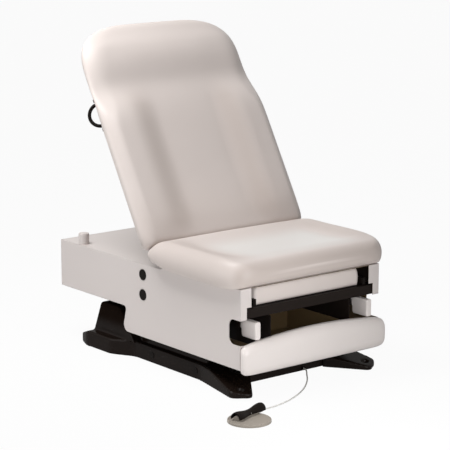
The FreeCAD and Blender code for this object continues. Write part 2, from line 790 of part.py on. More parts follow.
def build_leg_rest():
    """Padded leg rest on a sliding board, with a guide on each side."""
    front = "(-cabinet_front + leg_rest_set_back)"
    low = f"({tube_low} + leg_rest_clearance)"
    half = "leg_rest_width / 2"
    board = block((f"-{half} + leg_rest_board_wall / 2", f"{front} + leg_rest_board_wall", low),
                  (f"{half} - leg_rest_board_wall / 2", f"{front} + leg_rest_length",
                   f"{low} + leg_rest_board_wall"))
    piece("leg_rest_board", board)
    pad_low = size_of(f"{low} + leg_rest_board_wall")
    pad_high = pad_low + size_of("leg_rest_cushion")
    wide = size_of(half)
    start = size_of(front)
    end = start + size_of("leg_rest_length")
    skirt = size_of("leg_rest_board_wall")
    profile = [
        (start, wide - 14, pad_low - 0.9 * skirt + 8, pad_high - 12, 0, 12, 5),
        (start + 5, wide - 5, pad_low - 0.9 * skirt + 2, pad_high - 5, 0, 14, 6),
        (start + 14, wide - 1, pad_low - 0.9 * skirt, pad_high - 1, 0, 15, 6),
        (start + 60, wide, pad_low - 0.9 * skirt, pad_high, -1, 15, 6),
        (end - 60, wide, pad_low - 0.9 * skirt, pad_high, -1, 15, 6),
        (end - 10, wide - 1, pad_low - 0.9 * skirt, pad_high - 2, 0, 15, 6),
        (end, wide - 6, pad_low - 0.9 * skirt + 4, pad_high - 8, 0, 14, 5),
    ]
    pocket = block((f"-{half} + leg_rest_board_wall / 2", f"{front} + leg_rest_board_wall", f"{low} - 1"),
                   (f"{half} - leg_rest_board_wall / 2", f"{front} + leg_rest_length + 1",
                    f"{low} + leg_rest_board_wall"))
    piece("leg_rest_cushion", cut(cushion("leg_rest_foam", profile, True), pocket))

    guide = block((f"{half} + leg_guide_gap", f"{bar_front} + 1", tube_low),
                  (f"{half} + leg_guide_gap + leg_guide_width", f"mid_tube_reach + cross_tube_depth / 2",
                   f"{tube_low} + leg_guide_height"))
    pair("leg_rest_guides", guide)


def build_drawer():
    """Drawer box, its arched front, its runners and their carriers under the frame."""
    face = "(-cabinet_front - drawer_gap)"
    half = "drawer_front_width / 2"
    middle_top = size_of("drawer_front_end + drawer_front_rise")
    ends = size_of("drawer_front_end")
    wide = size_of(half)
    low = size_of("drawer_front_low")
    body = doc.addObject("PartDesign::Body", "drawer_face")
    sketch = body.newObject("Sketcher::SketchObject", "drawer_face_outline")
    support = [feature for feature in body.Origin.OriginFeatures if feature.Role == "XZ_Plane"]
    sketch.AttachmentSupport = [(support[0], "")]
    sketch.MapMode = "FlatFace"
    corners = [FreeCAD.Vector(-wide, low, 0), FreeCAD.Vector(wide, low, 0),
               FreeCAD.Vector(wide, ends, 0), FreeCAD.Vector(-wide, ends, 0)]
    crest = FreeCAD.Vector(0, middle_top, 0)
    sketch.addGeometry([Part.LineSegment(corners[3], corners[0]), Part.LineSegment(corners[0], corners[1]),
                        Part.LineSegment(corners[1], corners[2]), Part.Arc(corners[2], crest,
                                                                           corners[3])], False)
    bind(sketch, "AttachmentOffset.Base.z", f"-({face})")
    pad = body.newObject("PartDesign::Pad", "drawer_face_pad")
    pad.Profile = sketch
    bind(pad, "Length", "drawer_front_thick")
    body.Tip = pad
    doc.recompute()
    upright = rounded(body, "drawer_front_round * 2",
                      lambda edge: abs(edge.BoundBox.YLength - size_of("drawer_front_thick")) < 0.01)
    doc.recompute()
    front_y = size_of(f"{face} - drawer_front_thick")
    piece("drawer_front",
          rounded(upright, "drawer_front_round", lambda edge: edge.BoundBox.YMax < front_y + 0.01))

    side = "drawer_width / 2"
    rear = f"({face} + drawer_depth)"
    shell = block((f"-{side}", face, "drawer_low"), (side, rear, "drawer_high"))
    room = block((f"-{side} + drawer_wall", f"{face} + drawer_wall", "drawer_low + drawer_wall"),
                 (f"{side} - drawer_wall", f"{rear} - drawer_wall", "drawer_high + drawer_wall"))
    piece("drawer_box", cut(shell, room))
    runner = block((side, f"{face} + drawer_gap + panel_wall * 4", "runner_low"),
                   (f"{side} + runner_wall", rear, "runner_low + runner_height"))
    pair("drawer_runners", runner)
    channel_in = f"({side} + runner_wall + runner_gap)"
    carrier = block((channel_in, f"{bar_front}", "runner_low"),
                    (f"{channel_in} + carrier_wall", "-carrier_rear", cross_low))
    pair("drawer_carriers", carrier)


def build_stirrups():
    """On each side a sleeve, a bar that slides in it and a foot piece that swings on the bar's tongue."""
    half = "stirrup_bar_width / 2"
    gap = "stirrup_clearance"
    top = f"({cross_low} - sleeve_wall - {gap})"
    low = f"({top} - stirrup_bar_height)"
    outside = (f"stirrup_reach - {half} - {gap} - sleeve_wall", "-sleeve_front",
               f"{low} - {gap} - sleeve_wall")
    outside_end = (f"stirrup_reach + {half} + {gap} + sleeve_wall", "-sleeve_rear", cross_low)
    room = (f"stirrup_reach - {half} - {gap}", "-sleeve_front - 1", f"{low} - {gap}")
    room_end = (f"stirrup_reach + {half} + {gap}", "-sleeve_rear + 1", f"{top} + {gap}")
    pair("stirrup_sleeves", cut(block(outside, outside_end), block(room, room_end)))

    pin_y = "(-foot_front + foot_pin_set_back)"
    tongue_x = "(stirrup_reach - foot_width / 2 + tongue_gap + tongue_width / 2)"
    tongue_low = "(foot_high - 2 * tongue_height)"
    tongue = block((f"{tongue_x} - tongue_width / 2", pin_y, tongue_low),
                   (f"{tongue_x} + tongue_width / 2", "-sleeve_front", f"{tongue_low} + tongue_height"))
    nose = rod("z", (tongue_x, pin_y), "tongue_width", tongue_low, f"{tongue_low} + tongue_height")
    shank = block((f"stirrup_reach - {half}", "-foot_rear + tongue_gap * 2", low),
                  (f"stirrup_reach + {half}", "-sleeve_rear - tongue_height", top))
    pin_hole = rod("z", (tongue_x, pin_y), "foot_pin_diameter + 2 * running_clearance",
                   f"{tongue_low} - 1", f"{tongue_low} + tongue_height + 1")
    both_sides("stirrup_bar", cut(fuse(tongue, nose, shank), pin_hole))

    foot = block(("stirrup_reach - foot_width / 2", "-foot_front", "foot_low"),
                 ("stirrup_reach + foot_width / 2", "-foot_rear", "foot_high"))
    slot_front = f"({pin_y} - tongue_width / 2 - tongue_gap)"
    slot = block(("stirrup_reach - foot_width / 2 - 1", slot_front, f"{tongue_low} - tongue_gap"),
                 (f"{tongue_x} + tongue_width / 2 + tongue_gap", "-foot_rear + 1",
                  f"{tongue_low} + tongue_height + tongue_gap"))
    step = block(("stirrup_reach - foot_width / 2 - 1", "-foot_rear - foot_step_depth", "foot_low - 1"),
                 ("stirrup_reach + foot_width / 2 + 1", "-foot_rear + 1", "foot_low + foot_step_rise"))
    upright = lambda edge: edge.BoundBox.ZLength > size_of("foot_high - foot_low") - 0.01
    pin = rod("z", (tongue_x, pin_y), "foot_pin_diameter", "foot_low + tongue_height",
              "foot_high - tongue_gap")
    both_sides("stirrup_foot", fuse(cut(rounded(foot, "4", upright), slot, step), pin))


def build_base():
    """Steel tubes and cross members, the moulded covers with toes and towers, and the fixing holes."""
    outside = "rail_span / 2"
    inside = "(rail_span / 2 - rail_width)"
    tube_x = f"({inside} + rail_width / 2 - base_tube_size / 2)"
    tube_end = f"({inside} + rail_width / 2 + base_tube_size / 2)"
    tube_z = "(base_tube_low + base_tube_size)"
    tube_front = f"({base_front} + cross_tube_depth)"
    pair("base_tubes",
         tube((tube_x, tube_front, "base_tube_low"), (tube_end, "base_tube_rear", tube_z),
              "tube_wall", "y"))
    cross_top = "(base_tube_low + base_cross_height)"
    front_member = (tube_end, base_front, tube_front, "front_member_low",
                    "front_member_low + front_member_height")
    rear_member = (tube_x, "base_rear_reach", "base_rear_reach + cross_tube_depth", "base_tube_low",
                   cross_top)
    passages = []
    bars = []
    for end, front, rear, low, high in (front_member, rear_member):
        bars.append(tube((f"-{end}", front, low), (end, rear, high), "tube_wall", "x"))
        passages.append(block((f"{inside} - 1", f"{front} - cover_clearance", "-1"),
                              (f"{tube_end} + cover_clearance", f"{rear} + cover_clearance",
                               f"{high} + cover_clearance")))
    piece("base_cross_members", group(*bars))
    piece("ram_anchor", fuse(*ram_clevis()))

    plan = [
        (inside, f"{base_front} - cover_clearance", "0"),
        (f"{inside} - rail_width", f"{base_front} - cover_clearance", "6"),
        (f"{outside} - 10", "-toe_front", "18"),
        ("toe_spread", "-toe_front + 44", "28"),
        (outside, f"{base_front} + 2.2 * rail_width", "120"),
        (outside, "tower_front + 20", "60"),
        ("toe_spread - 3", "tower_front + 105", "60"),
        ("toe_spread", "toe_rear - 75", "60"),
        ("toe_spread - 30", "toe_rear", "35"),
        (f"{inside} + 15", "toe_rear", "30"),
        (inside, "base_tube_rear + 10", "20"),
    ]
    foot = plate("cover_plan", "XY", plan, "0", "rail_height")
    slopes = []
    for start, run, drop, sign in ((f"{base_front} + rail_width", f"toe_front + {base_front} + rail_width",
                                    "toe_front_drop", 1),
                                   ("tower_rear - 10", "toe_rear - tower_rear + 10", "toe_rear_drop", -1)):
        wedge = doc.addObject("Part::Box", "slope")
        bind(wedge, "Length", "toe_spread")
        bind(wedge, "Width", f"2 * ({run})")
        bind(wedge, "Height", "rail_height")
        fall = math.degrees(math.atan2(size_of(drop), size_of(run)))
        turn = FreeCAD.Rotation(FreeCAD.Vector(1, 0, 0), sign * fall)
        corner = point("0", start, "rail_height")
        if sign > 0:
            corner += turn.multVec(FreeCAD.Vector(0, -2 * size_of(run), 0))
        wedge.Placement = FreeCAD.Placement(corner, turn)
        slopes.append(wedge)
    ridge = block((f"{inside} + 7", f"{base_front} + 2 * rail_width", "rail_height - 1"),
                  (f"{outside} - 23", "tower_front + 60", "rail_height + rail_ridge"))
    tower_plan = [
        ("tower_front", "rail_height - 2", "0"),
        ("tower_rear", "rail_height - 2", "0"),
        ("tower_rear - 50", "tower_height", "tower_round"),
        ("tower_front + 92", "tower_height", "tower_round"),
    ]
    tower = plate("tower", "YZ", tower_plan, f"{inside} + 7", f"tower_outer - {inside} - 7")
    channel = block((f"{tube_x} - cover_clearance", f"{tube_front} - 2", "-1"),
                    (f"{tube_end} + cover_clearance", "base_tube_rear + 2",
                     f"{tube_z} + cover_clearance"))
    holes = []
    for reach in (f"-{fixing_reach}", fixing_reach):
        holes.append(rod("z", ("fixing_reach_x", reach), "fixing_hole_diameter", "-1", "rail_height"))
        holes.append(rod("z", ("fixing_reach_x", reach), "fixing_sink_diameter", "fixing_sink_floor",
                         "rail_height + 1"))
    both_sides("base_cover", cut(fuse(cut(foot, *slopes), ridge, tower), channel, *passages, *holes))

    caps = [rod("x", (reach, "rail_plug_height"), "rail_plug_diameter", outside, f"{outside} + plug_proud")
            for reach in ("rail_plug_front", "rail_plug_rear")]
    piece("rail_plugs", group(*caps, *[mirrored(cap) for cap in caps]))

    upright = block((plate_inner, "tower_plate_front", "base_tube_low"),
                    (plate_outer, "base_rear_reach", "tower_height - 4"))
    bores = [rod("x", ("arm_pivot_reach", height), "arm_pin_diameter + 2 * running_clearance",
                 f"{plate_inner} - 1", f"{plate_outer} + 1")
             for height in ("lower_pivot_height", upper_pivot_height)]
    pair("tower_plates", cut(upright, *bores))
    pins = [rod("x", ("arm_pivot_reach", height), "arm_pin_diameter", f"{arm_inner} - arm_side_gap",
                plate_outer)
            for height in ("lower_pivot_height", upper_pivot_height)]
    piece("rear_arm_pins", group(*pins, *[mirrored(pin) for pin in pins]))

    rear_of_front = f"({base_front} + cross_tube_depth)"
    box_half = "control_box_width / 2"
    piece("control_box", block((f"control_box_shift - {box_half}", rear_of_front, "base_tube_low"),
                               (f"control_box_shift + {box_half}",
                                f"{rear_of_front} + control_box_depth", cross_top)))
    box_rear = f"({rear_of_front} + control_box_depth)"
    tank = block(("control_box_shift - pump_width / 2", box_rear, "base_tube_low"),
                 ("control_box_shift + pump_width / 2", f"{box_rear} + pump_depth / 2",
                  "base_tube_low + pump_height"))
    motor = rod("y", ("control_box_shift", "base_tube_low + pump_height / 2"), "pump_height - 4",
                f"{box_rear} + pump_depth / 2 - 1",
                f"{box_rear} + pump_depth")
    piece("pump_unit", fuse(tank, motor))
    rear_face = "(base_rear_reach + cross_tube_depth)"
    inlet = block(("inlet_reach - inlet_width / 2", rear_face, "base_tube_low + 6"),
                  ("inlet_reach + inlet_width / 2", f"{rear_face} + inlet_depth",
                   "base_tube_low + 6 + inlet_height"))
    socket = block(("inlet_reach - inlet_width / 4", f"{rear_face} + 3",
                    "base_tube_low + 6 + inlet_height / 4"),
                   ("inlet_reach + inlet_width / 4", f"{rear_face} + inlet_depth + 1",
                    "base_tube_low + 6 + inlet_height * 3 / 4"))
    piece("power_inlet", cut(inlet, socket))


def ram_clevis():
    """Foot plate, ears and pin on the rear member that the ram stands on."""
    gap = "(ram_eye_width / 2 + lug_gap)"
    reach = "(arm_pivot_reach - ram_anchor_along)"
    height = "(lower_pivot_height - ram_anchor_drop)"
    high = f"{height} + ram_pin_diameter"
    sides = ((gap, f"{gap} + lug_wall"), (f"-{gap} - lug_wall", f"-{gap}"))
    ears = [block((start, f"{reach} - ram_pin_diameter", "base_tube_low"), (end, "base_rear_reach", high))
            for start, end in sides]
    foot = block((f"-{gap} - lug_wall", "base_rear_reach - lug_wall", "base_tube_low"),
                 (f"{gap} + lug_wall", "base_rear_reach", high))
    pin = rod("x", (reach, height), "ram_pin_diameter", f"-{gap} - lug_wall", f"{gap} + lug_wall")
    return ears + [foot, pin]


def build_lift():
    """Lower and upper arms, each a pair joined by a tube, and the ram that raises the lower pair."""
    fall = math.degrees(math.asin(size_of("arm_drop / arm_length")))

    def arm_pair(tube_along):
        bars = []
        bores = []
        for start, end in ((arm_inner, arm_outer), (f"-{arm_outer}", f"-{arm_inner}")):
            bars.append(block((start, "-arm_length", "-arm_depth / 2"), (end, "0", "arm_depth / 2")))
            for reach in ("0", "-arm_length"):
                bars.append(rod("x", (reach, "0"), "arm_eye_diameter", start, end))
                bores.append(rod("x", (reach, "0"), "arm_pin_diameter + 2 * running_clearance",
                                 f"{start} - 1", f"{end} + 1"))
        bars.append(rod("x", (f"-{tube_along}", "0"), "arm_tube_diameter", f"-{arm_inner} - 1",
                        f"{arm_inner} + 1"))
        return bars, bores

    bars, bores = arm_pair("lower_tube_along")
    gap = "(ram_eye_width / 2 + lug_gap)"
    for start, end in ((gap, f"{gap} + lug_wall"), (f"-{gap} - lug_wall", f"-{gap}")):
        bars.append(block((start, "-lower_tube_along", "-arm_tube_diameter / 4"),
                          (end, "-ram_top_along + ram_pin_diameter", "ram_top_rise + ram_pin_diameter")))
    bars.append(rod("x", ("-ram_top_along", "ram_top_rise"), "ram_pin_diameter", f"-{gap} - lug_wall",
                    f"{gap} + lug_wall"))
    piece("lower_lift_arm",
          turned_about_x(cut(fuse(*bars), *bores), "arm_pivot_reach", "lower_pivot_height", fall))
    bars, bores = arm_pair("upper_tube_along")
    piece("upper_lift_arm",
          turned_about_x(cut(fuse(*bars), *bores), "arm_pivot_reach", upper_pivot_height, fall))

    foot = point("0", "arm_pivot_reach - ram_anchor_along", "lower_pivot_height - ram_anchor_drop")
    turn = FreeCAD.Rotation(FreeCAD.Vector(1, 0, 0), fall)
    top = point("0", "arm_pivot_reach",
                "lower_pivot_height") + turn.multVec(point("0", "-ram_top_along", "ram_top_rise"))
    telescoping_pair("lift_ram", "lift_ram_rod", foot, top, "ram", "ram_eye_width")


def build_foot_control():
    """Round plate, switch housing and rocker, with the rocker's pin across the middle."""
    plate_disc = rod("z", ("disc_x", "disc_y"), "disc_diameter", "0", "disc_thick")
    top = size_of("disc_thick")
    piece("foot_plate", rounded(plate_disc, "disc_round", lambda edge: edge.BoundBox.ZMin > top - 0.01))
    turn = FreeCAD.Rotation(FreeCAD.Vector(0, 0, 1), size_of("rocker_turn"))
    base = point("rocker_x", "rocker_y", "disc_thick")

    def saddle(end_radius, waist_radius, length, low, skirt):
        """A long arch, wide at both ends, narrow in the middle; skirt is the straight part below it."""
        wires = []
        for share, radius in ((-0.5, end_radius), (-0.22, 0.55 * end_radius + 0.45 * waist_radius),
                              (0, waist_radius),
                              (0.22, 0.55 * end_radius + 0.45 * waist_radius), (0.5, end_radius)):
            spots = [FreeCAD.Vector(share * length, radius * math.cos(bend),
                                    low + skirt + radius * math.sin(bend))
                     for bend in [math.pi * step / 4 for step in range(5)]]
            foot_right = FreeCAD.Vector(share * length, radius, low)
            foot_left = FreeCAD.Vector(share * length, -radius, low)
            wires.append(Part.Wire([Part.makeLine(foot_right, spots[0]), Part.Arc(*spots[0:3]).toShape(),
                                    Part.Arc(*spots[2:5]).toShape(), Part.makeLine(spots[4], foot_left),
                                    Part.makeLine(foot_left, foot_right)]))
        return Part.makeLoft(wires, True, False)

    length = size_of("rocker_length")
    lift = size_of("rocker_lift")
    shell = size_of("rocker_shell")
    end_radius = size_of("rocker_end_radius")
    waist = size_of("rocker_waist_radius")
    housing = saddle(size_of("housing_end_radius"), size_of("housing_waist_radius"),
                     length - 2 * size_of("housing_short"), 0, lift)
    skirt = size_of("rocker_skirt")
    pin_height = size_of("rocker_pin_rise")
    pin_radius = size_of("rocker_pin_diameter") / 2
    across = FreeCAD.Vector(0, 1, 0)
    pin = Part.makeCylinder(pin_radius, 2 * waist - 1, FreeCAD.Vector(0, 0.5 - waist, pin_height), across)
    loose = Part.makeCylinder(pin_radius + size_of("running_clearance"), 4 * waist,
                              FreeCAD.Vector(0, -2 * waist, pin_height), across)
    outside = saddle(end_radius, waist, length, lift, skirt)
    room = saddle(end_radius - shell, waist - shell, length + 2, lift - 1, skirt + 1)
    for label, shape in (("switch_housing", housing.cut(pin)), ("rocker_pin", pin),
                         ("foot_rocker", outside.cut(room).cut(loose))):
        solid = doc.addObject("Part::Feature", label)
        solid.Shape = shape
        solid.Placement = FreeCAD.Placement(base, turn)
        piece(label, solid)


def build_cord():
    """Grommet in the front member and the cord that lies on the floor up to the foot control."""
    face = size_of(base_front)
    exit_x = size_of("cord_exit_x")
    height = size_of("cord_exit_height")
    radius = size_of("cord_diameter / 2")
    stub = size_of("grommet_length")
    piece("cord_grommet",
          rod("y", ("cord_exit_x", "cord_exit_height"), "grommet_diameter",
              f"{base_front} - grommet_length", base_front))
    floor = radius + 0.1
    turn = math.radians(size_of("rocker_turn"))
    housing_end = size_of("rocker_length / 2 - housing_short")
    end = point("rocker_x", "rocker_y", "disc_thick + 5")
    end += FreeCAD.Vector(housing_end * math.cos(turn), housing_end * math.sin(turn), 0)
    run = FreeCAD.Vector(end.x - exit_x, end.y - face + stub, 0)
    aside = FreeCAD.Vector(-run.y, run.x, 0)
    outlet = FreeCAD.Vector(exit_x, face - stub, 0)
    route = [outlet + FreeCAD.Vector(shift, -ahead, height - fall)
             for shift, ahead, fall in ((0, 0, 0), (0, 11, 0), (-2, 25, 2.5), (-9, 40, 6))]
    route += [outlet + run * share + aside * bow + FreeCAD.Vector(0, 0, floor + above) for share, bow,
              above in (
        (0.0966, 0.0543, 0.9), (0.2017, 0.0837, 0), (0.3191, 0.1077, 0), (0.4351, 0.1204, 0),
        (0.5545, 0.1174, 0), (0.6761, 0.1021, 0), (0.7819, 0.0728, 0), (0.857, 0.0418, 0.1),
        (0.9186, 0.0218, 2.5))]
    onward = FreeCAD.Vector(math.cos(turn), math.sin(turn), 0)
    route += [end + onward * 16 - FreeCAD.Vector(0, 0, 2), end]
    edges = []
    last = route[0]
    radii = []
    length = 0
    for before, here, after in zip(route, route[1:], route[2:]):
        back = before - here
        ahead = after - here
        reach = 0.45 * min(back.Length, ahead.Length)
        half_turn = (math.pi - back.getAngle(ahead)) / 2
        bend = reach / math.tan(half_turn)
        radii.append(round(bend))
        enter = here + back.normalize() * reach
        leave = here + ahead.normalize() * reach
        middle = here + (back + ahead).normalize() * (bend / math.cos(half_turn) - bend)
        edges.append(Part.makeLine(last, enter))
        edges.append(Part.Arc(enter, middle, leave).toShape())
        length += last.distanceToPoint(enter) + 2 * half_turn * bend
        last = leave
    edges.append(Part.makeLine(last, route[-1]))
    length += last.distanceToPoint(route[-1])
    path = Part.Wire(edges)
    section = Part.Wire([Part.makeCircle(radius, route[0], route[1] - route[0])])
    solid = doc.addObject("Part::Feature", "cord")
    solid.Shape = path.makePipeShell([section], True, True)
    print("cord radii", radii, "length", round(length), "volume share",
          round(solid.Shape.Volume / (math.pi * radius ** 2 * length), 4))
    piece("foot_cord", solid)


build_cabinet()
build_upper_frame()
build_seat()
build_back()
build_back_hinge()
build_gas_spring()
build_leg_rest()
build_drawer()
build_stirrups()
build_base()
build_lift()
build_foot_control()
build_cord()
doc.recompute()

faults = [thing.Label for thing in doc.Objects if "Invalid" in thing.State or "Error" in thing.State]
for thing in pieces:
    if thing.Shape.isNull() or not thing.Shape.isValid() or not thing.Shape.Solids:
        faults.append(thing.Label)
if faults:
    raise RuntimeError("these did not build: " + ", ".join(faults))

os.makedirs("parts", exist_ok=True)
for thing in pieces:
    thing.Shape.exportStep(os.path.join("parts", thing.Label + ".step"))
print(len(pieces), "sub-parts written")
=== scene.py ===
import json
import math
import bmesh
import bpy
import numpy as np
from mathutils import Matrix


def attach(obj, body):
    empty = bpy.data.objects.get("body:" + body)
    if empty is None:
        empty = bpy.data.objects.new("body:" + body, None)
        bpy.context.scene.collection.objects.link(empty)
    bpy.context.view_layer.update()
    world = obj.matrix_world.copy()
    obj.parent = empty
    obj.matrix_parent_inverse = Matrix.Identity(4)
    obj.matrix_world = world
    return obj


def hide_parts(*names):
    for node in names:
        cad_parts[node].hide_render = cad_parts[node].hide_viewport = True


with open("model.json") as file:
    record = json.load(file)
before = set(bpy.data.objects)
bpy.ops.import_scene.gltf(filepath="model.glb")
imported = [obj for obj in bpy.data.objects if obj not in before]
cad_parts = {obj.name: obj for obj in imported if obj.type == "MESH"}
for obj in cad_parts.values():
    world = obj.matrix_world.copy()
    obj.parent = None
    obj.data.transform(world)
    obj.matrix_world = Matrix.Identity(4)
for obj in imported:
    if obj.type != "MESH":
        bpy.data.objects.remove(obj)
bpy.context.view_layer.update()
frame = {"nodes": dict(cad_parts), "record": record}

scene = bpy.context.scene
nodes = frame["nodes"]
degree = math.pi / 180


class Socket:
    # wraps an output socket; arithmetic on two of these adds a Math node to the same tree
    def __init__(self, tree, socket):
        self.tree = tree
        self.socket = socket

    def make(self, kind, settings, sockets, out=0):
        node = self.tree.nodes.new(kind)
        for name, value in settings.items():
            setattr(node, name, value)
        for name, value in sockets.items():
            if isinstance(value, Socket):
                self.tree.links.new(value.socket, node.inputs[name])
            else:
                node.inputs[name].default_value = value
        return Socket(self.tree, node.outputs[out])

    def sum(self, operation, first, second):
        return self.make("ShaderNodeMath", {"operation": operation}, {0: first, 1: second})

    def __add__(self, other):
        return self.sum("ADD", self, other)

    def __radd__(self, other):
        return self.sum("ADD", other, self)

    def __sub__(self, other):
        return self.sum("SUBTRACT", self, other)

    def __rsub__(self, other):
        return self.sum("SUBTRACT", other, self)

    def __mul__(self, other):
        return self.sum("MULTIPLY", self, other)

    def __rmul__(self, other):
        return self.sum("MULTIPLY", other, self)


def startFinish(name):
    material = bpy.data.materials.new(name)
    material.use_nodes = True
    tree = material.node_tree
    where = Socket(tree, tree.nodes.new("ShaderNodeTexCoord").outputs["Object"])
    return material, tree.nodes["Principled BSDF"], where


def plug(shader, **values):
    # sets or links the shader's sockets, written baseColor for Base Color
    for name, value in values.items():
        title = "".join(" " + letter if letter.isupper() else letter for letter in name).title()
        socket = shader.inputs[title.replace("Ior", "IOR")]
        if isinstance(value, Socket):
            value.tree.links.new(value.socket, socket)
        else:
            socket.default_value = value


def speckle(where, scale, detail=2.0, rough=0.5):
    sockets = {"Vector": where, "Scale": scale, "Detail": detail, "Roughness": rough}
    return where.make("ShaderNodeTexNoise", {}, sockets)


def tint(where, share, dark, pale):
    # a colour between two, by a share from 0 to 1; each colour is a socket or three numbers
    ends = [colour if isinstance(colour, Socket) else (*colour, 1) for colour in (dark, pale)]
    return where.make("ShaderNodeMix", {"data_type": "RGBA"}, {0: share, 6: ends[0], 7: ends[1]}, out=2)


def relief(where, height, strength, distance):
    return where.make("ShaderNodeBump", {}, {"Height": height, "Strength": strength, "Distance": distance})


def vinylFinish():
    # coated upholstery: pebbled grain about a millimetre across, faint shade changes, soft sheen,
    # paler as a painted highlight where the attribute rises to 1 and darker as painted shade where it falls
    # to -1
    look = {
        "pale": (0.740, 0.668, 0.634), "dark": (0.705, 0.630, 0.596),
        "worn": (0.810, 0.785, 0.760), "paintedShade": (0.560, 0.485, 0.446),
        "grain": 900, "crease": 260, "cloud": 7, "rough": 0.36, "shine": 0.40, "sheen": 0.05,
        "bump": 0.10, "bumpDepth": 0.0006,
    }
    material, shader, where = startFinish("paleVinyl")
    pebble = where.make("ShaderNodeTexVoronoi", {"feature": "SMOOTH_F1"},
                        {"Vector": where, "Scale": look["grain"]})
    crease = speckle(where, look["crease"], 4)
    cloud = speckle(where, look["cloud"], 3)
    wear = where.make("ShaderNodeAttribute", {"attribute_name": "wear"}, {}, out="Fac")
    colour = tint(where, cloud * 0.8 + crease * 0.2, look["dark"], look["pale"])
    # the attribute lays a painted highlight towards 1 and painted shade towards -1 over the random tone
    colour = tint(where, wear, colour, look["worn"])
    colour = tint(where, 0 - wear, colour, look["paintedShade"])
    plug(shader, baseColor=colour, roughness=look["rough"] + 0.10 * crease + 0.05 * cloud,
         normal=relief(where, pebble * 0.7 + crease * 0.5, look["bump"], look["bumpDepth"]),
         specularIorLevel=look["shine"], sheenWeight=look["sheen"])
    return material


def paintFinish(name, inner):
    # powder coat with a fine orange peel and edges that read as softly folded;
    # faces turned to the inside of the cabinet get painted shade, a dark brown
    look = {
        "pale": (0.704, 0.648, 0.626), "dark": (0.672, 0.617, 0.596), "innerShade": (0.150, 0.102, 0.055),
        "peel": 1400, "cloud": 4, "rough": 0.40, "shine": 0.35, "fold": 0.005,
        "bump": 0.05, "bumpDepth": 0.0004, "middleLimit": -0.1, "underLimit": -0.5,
    }
    material, shader, where = startFinish(name)
    peel = speckle(where, look["peel"], 2)
    cloud = speckle(where, look["cloud"], 3)
    colour = tint(where, cloud * 0.75 + peel * 0.25, look["dark"], look["pale"])
    facing = where.make("ShaderNodeNewGeometry", {}, {}, out="True Normal")
    turned = [where.make("ShaderNodeSeparateXYZ", {}, {0: facing}, out=axis) for axis in range(3)]
    # painted shade on the faces that turn towards the inside of the cabinet
    if inner == "towardsMiddle":
        across = where.make("ShaderNodeSeparateXYZ", {}, {0: where}, out=0)
        hidden = where.sum("LESS_THAN", turned[0] * across, look["middleLimit"])
        colour = tint(where, hidden, colour, look["innerShade"])
    if inner == "underneath":
        hidden = where.sum("LESS_THAN", turned[1] + turned[2], look["underLimit"])
        colour = tint(where, hidden, colour, look["innerShade"])
    edge = where.make("ShaderNodeBevel", {"samples": 6}, {"Radius": look["fold"]})
    surface = where.make("ShaderNodeBump", {}, {"Height": peel, "Strength": look["bump"],
                                                "Distance": look["bumpDepth"], "Normal": edge})
    plug(shader, baseColor=colour, roughness=look["rough"] + 0.08 * cloud, normal=surface,
         specularIorLevel=look["shine"])
    return material


def mouldedFinish(name, pale, dark, rough, shine=0.5, coat=0.0):
    # moulded plastic: fine texture, cloudy gloss and a slight change of shade
    look = {"fine": 700, "cloud": 9, "bump": 0.06, "bumpDepth": 0.0003}
    material, shader, where = startFinish(name)
    fine = speckle(where, look["fine"], 3)
    cloud = speckle(where, look["cloud"], 3)
    plug(shader, baseColor=tint(where, cloud * 0.7 + fine * 0.3, dark, pale),
         roughness=rough + 0.10 * cloud + 0.06 * fine, specularIorLevel=shine, coatWeight=coat,
         normal=relief(where, fine, look["bump"], look["bumpDepth"]))
    return material


def baseFinish():
    # glossy moulded shell: the low rails are polished, the tower above them is duller
    look = {
        "pale": (0.0135, 0.0085, 0.0066), "dark": (0.0075, 0.0048, 0.0036),
        "railTop": 0.08, "towerFoot": 0.13, "railShine": 0.20, "towerShine": 0.0, "coatRough": 0.22,
        "fine": 300, "cloud": 9, "rough": 0.5, "bump": 0.06, "bumpDepth": 0.0003,
    }
    material, shader, where = startFinish("baseGloss")
    fine = speckle(where, look["fine"], 3)
    cloud = speckle(where, look["cloud"], 3)
    height = where.make("ShaderNodeSeparateXYZ", {}, {0: where}, out=2)
    shine = where.make("ShaderNodeMapRange", {"interpolation_type": "SMOOTHSTEP"},
                       {"Value": height, "From Min": look["railTop"], "From Max": look["towerFoot"],
                        "To Min": look["railShine"], "To Max": look["towerShine"]})
    plug(shader, baseColor=tint(where, cloud * 0.7 + fine * 0.3, look["dark"], look["pale"]),
         roughness=look["rough"] + 0.1 * fine, normal=relief(where, fine, look["bump"], look["bumpDepth"]),
         specularIorLevel=0.0, coatWeight=shine, coatRoughness=look["coatRough"])
    return material


def steelFinish(name, pale, dark, rough, metallic, shine=0.5):
    # drawn bar: scratches stretched along the table, over a cloudy shade
    look = {"stretch": (600, 12, 600), "cloud": 12, "bump": 0.05, "bumpDepth": 0.0003}
    material, shader, where = startFinish(name)
    along = where.make("ShaderNodeMapping", {}, {"Vector": where, "Scale": look["stretch"]})
    scratch = speckle(along, 1, 4)
    cloud = speckle(where, look["cloud"], 3)
    plug(shader, baseColor=tint(where, scratch * 0.5 + cloud * 0.5, dark, pale),
         roughness=rough + 0.12 * scratch, metallic=metallic,
         normal=relief(where, scratch, look["bump"], look["bumpDepth"]), specularIorLevel=shine)
    return material


